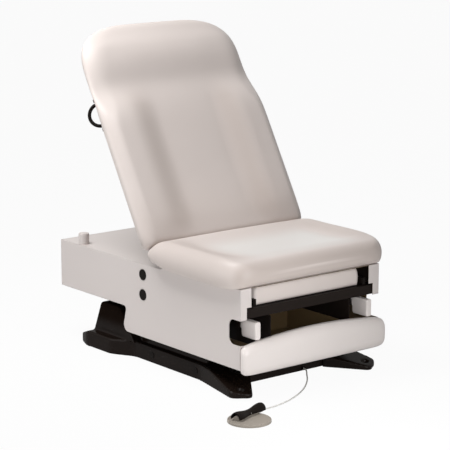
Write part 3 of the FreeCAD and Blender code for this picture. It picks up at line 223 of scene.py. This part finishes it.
def plyFinish():
    # plywood: long wavy grain and fine pores
    look = {
        "pale": (0.46, 0.32, 0.19), "dark": (0.22, 0.13, 0.07), "stretch": (26, 3, 26), "grain": 2.2,
        "pore": 420, "rough": 0.62, "bump": 0.12, "bumpDepth": 0.0005,
    }
    material, shader, where = startFinish("plyBoard")
    along = where.make("ShaderNodeMapping", {}, {"Vector": where, "Scale": look["stretch"]})
    grain = speckle(along, look["grain"], 6, 0.6)
    pore = speckle(where, look["pore"], 3)
    plug(shader, baseColor=tint(where, grain * 0.8 + pore * 0.2, look["dark"], look["pale"]),
         roughness=look["rough"] + 0.15 * pore,
         normal=relief(where, grain * 0.6 + pore * 0.4, look["bump"], look["bumpDepth"]))
    return material


# one finish for each material of the record: pale and dark shade, roughness, then shine or metal
finishes = {
    "vinyl": vinylFinish(),
    "cabinet_paint": paintFinish("deckPaint", "underneath"),
    "front_plastic": mouldedFinish(
        "frontPlastic", (0.830, 0.770, 0.742), (0.795, 0.735, 0.708), 0.30, shine=0.45, coat=0.12),
    "base_plastic": baseFinish(),
    "black_plastic": mouldedFinish(
        "blackMoulding", (0.0100, 0.0072, 0.0060), (0.0062, 0.0045, 0.0038), 0.34, shine=0.05),
    "black_steel": steelFinish(
        "blackSteel", (0.0170, 0.0118, 0.0096), (0.0100, 0.0070, 0.0058), 0.42, metallic=0.0, shine=0.08),
    "bright_steel": steelFinish("brightSteel", (0.62, 0.62, 0.62), (0.46, 0.46, 0.47), 0.26, metallic=1.0),
    "pump_alloy": steelFinish("pumpAlloy", (0.50, 0.50, 0.50), (0.38, 0.38, 0.38), 0.45, metallic=1.0),
    "board": plyFinish(),
    # the drawer box is a dark brown as painted shade inside the cabinet
    "drawer_plastic": mouldedFinish(
        "drawerInShade", (0.205, 0.140, 0.070), (0.170, 0.116, 0.057), 0.45, shine=0.15),
    "grey_plastic": mouldedFinish(
        "greyMoulding", (0.330, 0.295, 0.255), (0.285, 0.254, 0.218), 0.42, shine=0.30),
    "cord_rubber": mouldedFinish("cordJacket", (0.74, 0.73, 0.70), (0.66, 0.65, 0.62), 0.50),
}
# panels whose inside gets painted shade by another rule than the deck's, and the seat board, of which only
# the edge shows, painted near black as shade in the gap under the seat
outerPaint = {"side_panel_left": "towardsMiddle", "side_panel_right": "towardsMiddle", "back_posts": "none"}
for entry in frame["record"]["subparts"]:
    mesh = nodes[entry["node"]].data
    mesh.materials.clear()
    mesh.materials.append(finishes[entry["material_slot"]])
for nodeName, inner in outerPaint.items():
    nodes[nodeName].data.materials[0] = paintFinish("paint." + nodeName, inner)
# the seat board is near black as painted shade in the gap under the seat
nodes["seat_board"].data.materials[0] = mouldedFinish(
    "boardInShadow", (0.030, 0.022, 0.018), (0.020, 0.015, 0.012), 0.7, shine=0.1)


def softSpline(controls, count):
    # uniform cubic B-spline: each point blends four neighbouring rows;
    # the end rows are tripled so that the curve reaches them
    rows = np.array(controls, float)
    rows = np.vstack([rows[:1], rows[:1], rows, rows[-1:], rows[-1:]])
    place = np.linspace(0, len(rows) - 3 - 1e-9, count)
    first = place.astype(int)
    t = (place - first)[:, None]
    weights = ((1 - t) ** 3, 3 * t ** 3 - 6 * t ** 2 + 4, -3 * t ** 3 + 3 * t ** 2 + 3 * t + 1, t ** 3)
    return sum(weight * rows[first + step] for step, weight in enumerate(weights)) / 6


def ease(share):
    # smooth step: 0 below 0, 1 above 1, three squares minus two cubes between
    share = np.clip(share, 0, 1)
    return share * share * (3 - 2 * share)


# shared by the pads: share of the height at which a pad is widest, points on each stretch of a section,
# and how strongly and how widely painted shade lies along the wall of the dished middle
padShape = {
    "waist": 0.42, "floorPoints": 10, "lowerPoints": 11, "upperPoints": 21, "topPoints": 44,
    "wallGain": 1.5, "wallWidth": 0.4,
}


def paddedSection(stations, recess, soft, crown):
    # rings round a pad, one for each row of stations (along, half width, low, high, dish, rounding, tuck):
    # flat floor, quarter ellipse out to the widest line, quarter ellipse in to the rim, then the dished top
    along, wide, low, high, dish, rounding, tuck = [column[:, None] for column in stations.T]
    waist = padShape["waist"] * (high - low)
    floor = np.linspace(0, 1, padShape["floorPoints"])[:-1][None]
    lower = np.linspace(0, math.pi / 2, padShape["lowerPoints"])[:-1][None]
    upper = np.linspace(0, math.pi / 2, padShape["upperPoints"])[:-1][None]
    top = np.linspace(1, 0, padShape["topPoints"])[None]
    across = np.hstack([(wide - tuck) * floor, wide - tuck + tuck * np.sin(lower),
                        wide - rounding + rounding * np.cos(upper), (wide - rounding) * top])
    up = np.hstack([low + 0 * floor, low + waist - waist * np.cos(lower),
                    low + waist + (high - low - waist) * np.sin(upper), high + 0 * top])
    # the top rises by the crown, a parabola over the width, and sinks by the dish inside the recess
    share = np.clip((up - low - waist) / np.maximum(high - low - waist, 1e-6), 0, 1)
    raised = crown * (1 - (across / wide) ** 2) - dish * ease((recess + soft / 2 - across) / soft)
    up = up + share ** 3 * raised
    across = np.hstack([across, -across[:, -2:0:-1]])
    up = np.hstack([up, up[:, -2:0:-1]])
    return along + 0 * across, across, up


def wallShadeBell(rows, across, pad):
    # a bell along the wall of the dished middle, fading out where the dish does; it places painted shade
    depth = padShape["wallGain"] * rows[:, 4:5] / rows[:, 4].max()
    away = (np.abs(across) - pad["recess"]) / (padShape["wallWidth"] * pad["soft"])
    return np.clip(depth, 0, 1) * np.exp(-away ** 2)


def closedSkin(name, points, wear=None):
    # rings of points joined into quads, with a fan from the middle of the first and of the last ring
    rings, around = points.shape[:2]
    ring, step = np.meshgrid(np.arange(rings - 1), np.arange(around), indexing="ij")
    corner = ring * around + step
    beside = ring * around + (step + 1) % around
    quads = np.stack([corner, beside, beside + around, corner + around], -1).reshape(-1, 4)
    flat = points.reshape(-1, 3)
    total = len(flat)
    flat = np.vstack([flat, points[0].mean(0), points[-1].mean(0)])
    turn = np.arange(around)
    last = (rings - 1) * around
    fans = np.vstack([np.stack([turn * 0 + total, (turn + 1) % around, turn], -1),
                      np.stack([turn * 0 + total + 1, last + turn, last + (turn + 1) % around], -1)])
    mesh = bpy.data.meshes.new(name)
    mesh.from_pydata(flat.tolist(), [], quads.tolist() + fans.tolist())
    build = bmesh.new()
    build.from_mesh(mesh)
    bmesh.ops.recalc_face_normals(build, faces=build.faces)
    build.to_mesh(mesh)
    build.free()
    mesh.polygons.foreach_set("use_smooth", np.ones(len(mesh.polygons), bool))
    # the attribute carries the painted highlight and painted shade for the vinyl
    if wear is not None:
        values = np.append(wear.ravel(), [0, 0])
        mesh.attributes.new("wear", "FLOAT", "POINT").data.foreach_set("value", values)
    return addPiece(name, mesh)


def addPiece(name, data):
    piece = bpy.data.objects.new(name, data)
    scene.collection.objects.link(piece)
    return piece


def dress(piece, body, slotName, *replaced):
    piece.data.materials.clear()
    piece.data.materials.append(finishes[slotName])
    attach(piece, body)
    if replaced:
        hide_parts(*replaced)


# cloth pass for the cushions: each starts a little smaller and is blown up from inside;
# the swelling is capped, evened out and fades to nothing near the ends
clothRun = {
    "pressure": 4.0, "frames": 20, "quality": 4, "shrink": 0.0005, "heldAbove": 0.8,
    "cap": 0.005, "even": 12, "end": 0.03, "fade": 0.07,
}


def evenOut(grid):
    # mean with the neighbours along and around, many times over, so that only the broad swelling is left
    for turn in range(clothRun["even"]):
        beside = (np.roll(grid, 1, 1) + np.roll(grid, -1, 1)) / 4 + grid / 2
        before, after = np.vstack([beside[:1], beside[:-1]]), np.vstack([beside[1:], beside[-1:]])
        grid = (before + after) / 4 + beside / 2
    return grid


def puffUp(piece, down, along):
    # the face that points down stays held; no point swells further than the cap from where it was drawn
    mesh = piece.data
    drawn = np.empty(3 * len(mesh.vertices))
    mesh.vertices.foreach_get("co", drawn)
    drawn = drawn.reshape(-1, 3)
    facing = np.empty(3 * len(mesh.vertices))
    mesh.vertex_normals.foreach_get("vector", facing)
    facing = facing.reshape(-1, 3)
    held = facing @ np.array(down) > clothRun["heldAbove"]
    mesh.vertices.foreach_set("co", (drawn - clothRun["shrink"] * facing * ~held[:, None]).ravel())
    mesh.update()
    group = piece.vertex_groups.new(name="held")
    group.add(np.flatnonzero(held).tolist(), 1.0, "REPLACE")
    cloth = piece.modifiers.new("cloth", "CLOTH")
    cloth.settings.quality = clothRun["quality"]
    cloth.settings.use_pressure = True
    cloth.settings.uniform_pressure_force = clothRun["pressure"]
    cloth.settings.vertex_group_mass = group.name
    cloth.settings.effector_weights.gravity = 0
    cloth.point_cache.frame_end = clothRun["frames"]
    for step in range(1, clothRun["frames"] + 1):
        scene.frame_set(step)
    blown = bpy.data.meshes.new_from_object(piece.evaluated_get(bpy.context.evaluated_depsgraph_get()))
    moved = np.empty(drawn.size)
    blown.vertices.foreach_get("co", moved)
    swell = ((moved.reshape(-1, 3) - drawn) * facing).sum(1)
    swell = np.clip(swell, 0, clothRun["cap"]) * ~held
    # distance from the nearer end, which stays as drawn
    inward = np.minimum(along - along.min(), along.max() - along)
    rings = evenOut(swell[:-2].reshape(along.shape)) * ease((inward - clothRun["end"]) / clothRun["fade"])
    swell = np.append(rings, [0, 0])
    print("cloth on", piece.name, "swells", round(1000 * float(swell.mean()), 2), "mm on average")
    piece.modifiers.clear()
    piece.vertex_groups.clear()
    mesh.vertices.foreach_set("co", (drawn + swell[:, None] * facing).ravel())
    mesh.update()
    bpy.data.meshes.remove(blown)
    scene.frame_set(1)


# seat cushion: rounded nose over the leg rest, raised rim, dished middle, tucked in at the rear for the back
seatPad = {
    "rings": 110, "recess": 0.285, "soft": 0.12, "crown": 0.004, "fill": 0.85,
    # the middle is paler as a painted highlight; the walls of the dish, the sides and the front get painted
    # shade
    "worn": (0.31, -0.525, -0.095), "highlightFade": 0.15, "wallShade": 0.6, "shadeLimit": 0.9,
    "sideShade": (0.30, 0.05, 0.35), "frontShade": (0.452, 0.045, 0.9),  # where it starts, fade, strength
    "stations": [  # along, half width, low, high, dish, rounding, tuck
        (-0.505, 0.235, 0.428, 0.440, 0, 0.020, 0.012),
        (-0.5045, 0.262, 0.419, 0.449, 0, 0.026, 0.014),
        (-0.500, 0.297, 0.410, 0.460, 0, 0.034, 0.016),
        (-0.488, 0.324, 0.398, 0.471, 0, 0.040, 0.018),
        (-0.468, 0.343, 0.390, 0.479, 0, 0.043, 0.020),
        (-0.440, 0.357, 0.387, 0.484, 0.004, 0.044, 0.020),
        (-0.395, 0.365, 0.387, 0.487, 0.013, 0.043, 0.020),
        (-0.320, 0.367, 0.388, 0.487, 0.021, 0.042, 0.020),
        (-0.220, 0.367, 0.389, 0.486, 0.022, 0.042, 0.020),
        (-0.120, 0.367, 0.390, 0.486, 0.016, 0.043, 0.020),
        (-0.075, 0.368, 0.394, 0.486, 0.007, 0.046, 0.022),
        (-0.050, 0.368, 0.399, 0.484, 0.002, 0.050, 0.024),
        (-0.030, 0.368, 0.403, 0.479, 0, 0.050, 0.024),
        (-0.013, 0.366, 0.410, 0.468, 0, 0.044, 0.022),
        (-0.003, 0.362, 0.418, 0.457, 0, 0.034, 0.018),
        (0.002, 0.356, 0.427, 0.446, 0, 0.024, 0.012),
    ],
}


def buildSeat():
    rows = softSpline(seatPad["stations"], seatPad["rings"])
    along, across, up = paddedSection(rows, seatPad["recess"], seatPad["soft"], seatPad["crown"])
    # painted highlight over the middle of the dish, less painted shade along its walls, towards the sides
    # and at the front
    side, front, rear = seatPad["worn"]
    fade = seatPad["highlightFade"]
    wear = ease((side - np.abs(across)) / fade) * ease((along - front) / fade) * ease((rear - along) / fade)
    wear = wear - seatPad["wallShade"] * wallShadeBell(rows, across, seatPad)
    paintedShade = ((np.abs(across), seatPad["sideShade"]), (-along, seatPad["frontShade"]))
    for far, (start, width, strength) in paintedShade:
        wear = wear - strength * ease((far - start) / width)
    wear = np.clip(wear, -seatPad["shadeLimit"], 1)
    piece = closedSkin("seatPad", np.stack([across, along, up], -1), wear)
    puffUp(piece, (0, 0, -1), along)
    dress(piece, "upper_frame", "vinyl", "seat_cushion")


# back cushion, drawn flat from the hinge and then turned: dished middle, pillow at the head,
# small folds at the lower corners
backPad = {
    "hinge": (0.023, 0.411), "angle": 59.6,
    "rings": 140, "recess": 0.195, "soft": 0.145, "crown": 0.004, "fill": 0.85,
    "foldDepth": 0.0016, "foldPitch": 0.013, "foldSlant": 0.9, "foldBend": 12,
    "foldAt": (0.366, 0.050), "foldSpread": (0.035, 0.026),  # across, along
    # painted shade along the walls of the dish and low down, next to the seat
    "wallShade": 0.6, "shadeLimit": 0.8, "lowShade": (0.26, 0.18, 0.35),  # where it starts, fade, strength
    "stations": [  # along, half width, low, high, dish, rounding, tuck
        (0.026, 0.345, 0.026, 0.036, 0, 0.020, 0.010),
        (0.0265, 0.356, 0.020, 0.046, 0, 0.026, 0.012),
        (0.033, 0.366, 0.015, 0.060, 0, 0.034, 0.014),
        (0.050, 0.371, 0.0138, 0.069, 0.004, 0.042, 0.016),
        (0.090, 0.372, 0.0138, 0.0735, 0.015, 0.048, 0.016),
        (0.150, 0.372, 0.0138, 0.074, 0.026, 0.048, 0.016),
        (0.250, 0.372, 0.0138, 0.074, 0.030, 0.048, 0.016),
        (0.370, 0.372, 0.0138, 0.074, 0.030, 0.048, 0.016),
        (0.470, 0.372, 0.0138, 0.074, 0.030, 0.050, 0.016),
        (0.515, 0.372, 0.0138, 0.073, 0.029, 0.054, 0.016),
        (0.555, 0.3705, 0.0138, 0.066, 0.023, 0.060, 0.016),
        (0.590, 0.368, 0.0138, 0.053, 0.012, 0.070, 0.016),
        (0.625, 0.365, 0.010, 0.041, 0.003, 0.080, 0.016),
        (0.660, 0.3625, 0.004, 0.0375, 0, 0.086, 0.016),
        (0.700, 0.360, -0.002, 0.045, -0.001, 0.088, 0.016),
        (0.735, 0.3585, -0.004, 0.051, -0.002, 0.090, 0.016),
        (0.775, 0.356, -0.004, 0.053, -0.003, 0.092, 0.016),
        (0.815, 0.344, 0, 0.050, 0, 0.092, 0.016),
        (0.848, 0.320, 0.005, 0.044, 0, 0.088, 0.016),
        (0.874, 0.282, 0.010, 0.038, 0, 0.078, 0.014),
        (0.890, 0.238, 0.014, 0.032, 0, 0.066, 0.012),
        (0.899, 0.182, 0.018, 0.026, 0, 0.046, 0.010),
    ],
}


def turnBack(across, along, up):
    # turns points drawn flat about the hinge to the resting angle of the back
    cosine = math.cos(backPad["angle"] * degree)
    sine = math.sin(backPad["angle"] * degree)
    return np.stack([across, backPad["hinge"][0] + along * cosine - up * sine,
                     backPad["hinge"][1] + along * sine + up * cosine], -1)


def buildBack():
    rows = softSpline(backPad["stations"], backPad["rings"])
    along, across, up = paddedSection(rows, backPad["recess"], backPad["soft"], backPad["crown"])
    # folds: waves that run out at a slant from the lower corners and die away within a hand's width
    away = (np.abs(across) - backPad["foldAt"][0]) / backPad["foldSpread"][0]
    above = (along - backPad["foldAt"][1]) / backPad["foldSpread"][1]
    slanted = along + backPad["foldSlant"] * up + backPad["foldBend"] * up * up
    wave = 1 + np.cos(2 * math.pi * slanted / backPad["foldPitch"])
    across = across - np.sign(across) * backPad["foldDepth"] * np.exp(-away ** 2 - above ** 2) * wave
    # painted shade along the walls of the dish and over the low part next to the seat
    start, width, strength = backPad["lowShade"]
    shadeDepth = backPad["wallShade"] * wallShadeBell(rows, across, backPad) + strength * ease((start - along) / width)
    wear = np.clip(-shadeDepth, -backPad["shadeLimit"], 1)
    piece = closedSkin("backPad", turnBack(across, along, up), wear)
    tilt = backPad["angle"] * degree
    puffUp(piece, (0, math.sin(tilt), -math.cos(tilt)), along)
    dress(piece, "backrest", "vinyl", "back_cushion")


# leg rest cushion: a slim pad with a soft front edge, on its sliding board
legPad = {
    "rings": 70, "recess": 0.1, "soft": 0.05, "crown": 0.0015, "fill": 0.8,
    "stations": [  # along, half width, low, high, dish, rounding, tuck
        (-0.460, 0.222, 0.336, 0.368, 0, 0.012, 0.006),
        (-0.4598, 0.231, 0.327, 0.376, 0, 0.014, 0.006),
        (-0.456, 0.239, 0.3195, 0.382, 0, 0.016, 0.006),
        (-0.448, 0.2445, 0.3170, 0.385, 0, 0.018, 0.005),
        (-0.436, 0.245, 0.3195, 0.385, 0, 0.018, 0.004),
        (-0.420, 0.245, 0.3225, 0.385, 0, 0.018, 0.004),
        (-0.300, 0.245, 0.3225, 0.385, 0, 0.018, 0.004),
        (-0.150, 0.245, 0.3225, 0.385, 0, 0.018, 0.004),
        (-0.085, 0.245, 0.3225, 0.385, 0, 0.018, 0.004),
        (-0.068, 0.243, 0.325, 0.382, 0, 0.016, 0.005),
        (-0.061, 0.238, 0.334, 0.374, 0, 0.012, 0.006),
    ],
}


def buildLegRest():
    rows = softSpline(legPad["stations"], legPad["rings"])
    along, across, up = paddedSection(rows, legPad["recess"], legPad["soft"], legPad["crown"])
    piece = closedSkin("legPad", np.stack([across, along, up], -1))
    puffUp(piece, (0, 0, -1), along)
    dress(piece, "leg_rest", "vinyl", "leg_rest_cushion")


# drawer front: a bulged moulding with an arched top and pillow-like ends
drawerFace = {
    "half": 0.3285, "rear": -0.479, "low": 0.087, "end": 0.193, "rise": 0.027, "thick": 0.036,
    "edge": 0.032, "tuck": 0.008, "rings": 170, "recess": 0.01, "soft": 0.01, "crown": 0.003,
    "ends": [  # share of the half width, of the height, of the thickness behind and in front
        (1, 0.42, 0.46, 0.54), (0.9985, 0.60, 0.34, 0.66), (0.992, 0.75, 0.22, 0.78),
        (0.978, 0.865, 0.13, 0.88), (0.955, 0.94, 0.06, 0.94), (0.92, 0.98, 0.02, 0.98),
        (0.86, 1, 0, 1), (0.74, 1, 0, 1), (0.5, 1, 0, 1), (0.25, 1, 0, 1),
    ],
}


def buildDrawerFront():
    # one padded section for each place along the width;
    # the top follows a parabola and the ends close in all round
    out, nose, behind, ahead = np.array(drawerFace["ends"]).T
    shares = np.concatenate([-out, [0], out[::-1]])
    nose, behind, ahead = [np.concatenate([column, [full], column[::-1]])
                           for column, full in ((nose, 1), (behind, 0), (ahead, 1))]
    top = drawerFace["end"] + drawerFace["rise"] * (1 - shares ** 2)
    tall = (top - drawerFace["low"]) / 2
    body = ahead - behind
    stations = np.stack([shares * drawerFace["half"], tall * nose, drawerFace["thick"] * behind,
                         drawerFace["thick"] * ahead, 0 * tall, drawerFace["edge"] * body,
                         drawerFace["tuck"] * body, drawerFace["low"] + tall], -1)
    rows = softSpline(stations, drawerFace["rings"])
    along, across, up = paddedSection(
        rows[:, :7], drawerFace["recess"], drawerFace["soft"], drawerFace["crown"])
    piece = closedSkin("drawerFace", np.stack([along, drawerFace["rear"] - up, rows[:, 7:] + across], -1))
    dress(piece, "drawer", "front_plastic", "drawer_front")


# base covers: the moulded shells with every edge softened
baseShell = {"voxel": 0.0034, "passes": 10, "factor": 0.5}


def softCopy(nodeName, pieceName, voxel, passes, factor):
    # a merged copy of the solid, rebuilt in small cells, whose points move towards their neighbours' mean
    build = bmesh.new()
    build.from_mesh(nodes[nodeName].data)
    bmesh.ops.remove_doubles(build, verts=build.verts, dist=1e-5)
    mesh = bpy.data.meshes.new(pieceName)
    build.to_mesh(mesh)
    build.free()
    piece = addPiece(pieceName, mesh)
    cells = piece.modifiers.new("cells", "REMESH")
    cells.mode = "VOXEL"
    cells.voxel_size = voxel
    softer = piece.modifiers.new("softer", "SMOOTH")
    softer.factor = factor
    softer.iterations = passes
    bpy.context.view_layer.update()
    finished = bpy.data.meshes.new_from_object(piece.evaluated_get(bpy.context.evaluated_depsgraph_get()))
    piece.modifiers.clear()
    piece.data = finished
    finished.polygons.foreach_set("use_smooth", np.ones(len(finished.polygons), bool))
    return piece


def buildBase():
    for side in ("left", "right"):
        shell = softCopy("base_cover_" + side, "baseShell." + side, **baseShell)
        dress(shell, "base", "base_plastic", "base_cover_" + side)


# stirrup foot pieces: moulded blocks, set in a little at the lower rear
footBlock = {
    "reach": 0.257, "squareness": 7, "around": 72,
    "rings": [  # along, half width, low, high
        (-0.4980, 0.0080, 0.2112, 0.2655), (-0.4976, 0.0096, 0.2092, 0.2676),
        (-0.4966, 0.0108, 0.2079, 0.2690), (-0.4945, 0.0114, 0.2072, 0.2698),
        (-0.4900, 0.0115, 0.2070, 0.2700), (-0.4600, 0.0115, 0.2070, 0.2700),
        (-0.4260, 0.0115, 0.2070, 0.2700), (-0.4235, 0.0115, 0.2077, 0.2700),
        (-0.4224, 0.0115, 0.2097, 0.2700), (-0.4220, 0.0115, 0.2137, 0.2700),
        (-0.4216, 0.0115, 0.2280, 0.2700), (-0.4210, 0.0115, 0.2320, 0.2700),
        (-0.4195, 0.0115, 0.2335, 0.2700), (-0.4170, 0.0114, 0.2340, 0.2699),
        (-0.4152, 0.0108, 0.2348, 0.2690), (-0.4143, 0.0098, 0.2362, 0.2676),
        (-0.4140, 0.0082, 0.2382, 0.2655),
    ],
}


def buildFeet():
    # rings of a rounded rectangle: the half sizes times the cosine and sine of the turn,
    # each raised to a small power with its sign kept
    along, wide, low, high = [column[:, None] for column in np.array(footBlock["rings"]).T]
    turn = np.linspace(0, 2 * math.pi, footBlock["around"], endpoint=False)[None]
    power = 2 / footBlock["squareness"]
    across = wide * np.sign(np.cos(turn)) * np.abs(np.cos(turn)) ** power
    up = (low + high) / 2 + (high - low) / 2 * np.sign(np.sin(turn)) * np.abs(np.sin(turn)) ** power
    for side, place in (("left", -footBlock["reach"]), ("right", footBlock["reach"])):
        block = closedSkin("footBlock." + side, np.stack([place + across, along + 0 * across, up], -1))
        dress(block, "foot_" + side, "front_plastic", "stirrup_foot_" + side)


# cord of the foot control: leaves the front cross member and lies on the floor up to the switch
footCord = {
    "diameter": 0.005, "length": 0.554, "order": 3, "smooth": 10, "roundness": 4,
    "route": [
        (0.0820, -0.3460, 0.0110), (0.0812, -0.3540, 0.0108), (0.0775, -0.3650, 0.0085),
        (0.0705, -0.3755, 0.0055), (0.0590, -0.3890, 0.0032), (0.0455, -0.4065, 0.0026),
        (0.0170, -0.4414, 0.0026), (-0.0280, -0.4860, 0.0026), (-0.0756, -0.5252, 0.0026),
        (-0.1293, -0.5584, 0.0026), (-0.1875, -0.5868, 0.0026), (-0.2428, -0.6045, 0.0026),
        (-0.2850, -0.6125, 0.0027), (-0.3180, -0.6215, 0.0051), (-0.3449, -0.6313, 0.0120),
        (-0.3603, -0.6354, 0.0140),
    ],
}


def buildCord():
    curve = bpy.data.curves.new("footCord", "CURVE")
    curve.dimensions = "3D"
    spline = curve.splines.new("NURBS")
    spline.points.add(len(footCord["route"]) - 1)
    spline.points.foreach_set("co", np.array([(*spot, 1) for spot in footCord["route"]]).ravel())
    spline.order_u = footCord["order"]
    spline.use_endpoint_u = True
    curve.resolution_u = footCord["smooth"]
    curve.bevel_depth = footCord["diameter"] / 2
    curve.bevel_resolution = footCord["roundness"]
    curve.use_fill_caps = True
    piece = addPiece("footCord", curve)
    dress(piece, "base", "cord_rubber", "foot_cord")


for stage in (buildCord, buildSeat, buildBack, buildLegRest, buildDrawerFront, buildBase, buildFeet):
    stage()
    print("done:", stage.__name__)


# floor, world, lamps and camera
studio = {
    "floorHalf": 40.0, "floorDrop": 0.0004, "floorColour": (0.80, 0.80, 0.80, 1), "floorRough": 0.9,
    "floorShine": 0.1, "floorWhite": 0.95, "floorMirrored": 0.4,
    "worldStrength": 0.16, "worldColour": (1.0, 0.985, 0.97, 1),
    "lamps": {  # place, aim, width, power
        "keyLamp": ((-1.1, 0.3, 2.8), (0, 0.15, 0.65), 1.2, 55),
        "sideLamp": ((-4.2, 0.9, 0.75), (0, 0.1, 0.5), 2.4, 49),
        "frontLamp": ((-0.40, -1.40, 0.50), (0, -0.45, 0.25), 0.5, 6),
    },
    "cameraAt": (-4.3341, -5.4472, 1.9766), "cameraTurn": (77.975, 0, -38.463),
    "lens": 155.03, "sensor": 36, "viewEnd": 200,
}


def buildStudio():
    half, drop = studio["floorHalf"], studio["floorDrop"]
    corners = [(-half, -half, -drop), (half, -half, -drop), (half, half, -drop), (-half, half, -drop)]
    mesh = bpy.data.meshes.new("floor")
    mesh.from_pydata(corners, [], [(0, 1, 2, 3)])
    floor = addPiece("floor", mesh)
    material, shader, where = startFinish("floorPaper")
    plug(shader, baseColor=studio["floorColour"], roughness=studio["floorRough"],
         specularIorLevel=studio["floorShine"])
    # the paper glows white where the camera sees it, less in mirrored rays, and keeps part of its shadows
    direct = where.make("ShaderNodeLightPath", {}, {}, out="Is Camera Ray")
    mirrored = where.make("ShaderNodeLightPath", {}, {}, out="Is Glossy Ray")
    white = direct * studio["floorWhite"] + mirrored * studio["floorMirrored"]
    glow = where.make("ShaderNodeEmission", {}, {"Color": (1, 1, 1, 1), "Strength": 1.0})
    paper = Socket(where.tree, shader.outputs[0])
    mixed = where.make("ShaderNodeMixShader", {}, {0: white, 1: paper, 2: glow})
    where.tree.links.new(mixed.socket, where.tree.nodes["Material Output"].inputs["Surface"])
    mesh.materials.append(material)

    world = bpy.data.worlds.new("studioWorld")
    scene.world = world
    world.use_nodes = True
    tree = world.node_tree
    background = tree.nodes["Background"]
    background.inputs["Color"].default_value = studio["worldColour"]
    # the full strength is seen, mirrored or looked through; what lights the table is a small share of it
    path = Socket(tree, tree.nodes.new("ShaderNodeLightPath").outputs["Is Camera Ray"])
    shine = path.make("ShaderNodeLightPath", {}, {}, out="Is Glossy Ray")
    clear = path.make("ShaderNodeLightPath", {}, {}, out="Is Transmission Ray")
    seen = path.sum("MINIMUM", path + shine + clear, 1.0)
    strength = studio["worldStrength"] + (1 - studio["worldStrength"]) * seen
    tree.links.new(strength.socket, background.inputs["Strength"])

    for name, (place, aim, width, power) in studio["lamps"].items():
        lamp = bpy.data.lights.new(name, "AREA")
        lamp.size = width
        lamp.energy = power
        holder = addPiece(name, lamp)
        holder.location = place
        run = np.array(aim) - np.array(place)
        tilt = math.atan2(math.hypot(run[0], run[1]), -run[2])
        holder.rotation_euler = (tilt, 0, math.atan2(-run[0], run[1]))

    camera = bpy.data.cameras.new("camera")
    camera.lens = studio["lens"]
    camera.sensor_width = studio["sensor"]
    camera.clip_end = studio["viewEnd"]
    holder = addPiece("camera", camera)
    holder.location = studio["cameraAt"]
    holder.rotation_euler = [turn * degree for turn in studio["cameraTurn"]]
    scene.camera = holder
    scene.view_settings.view_transform = "Standard"
    print("studio ready")


buildStudio()
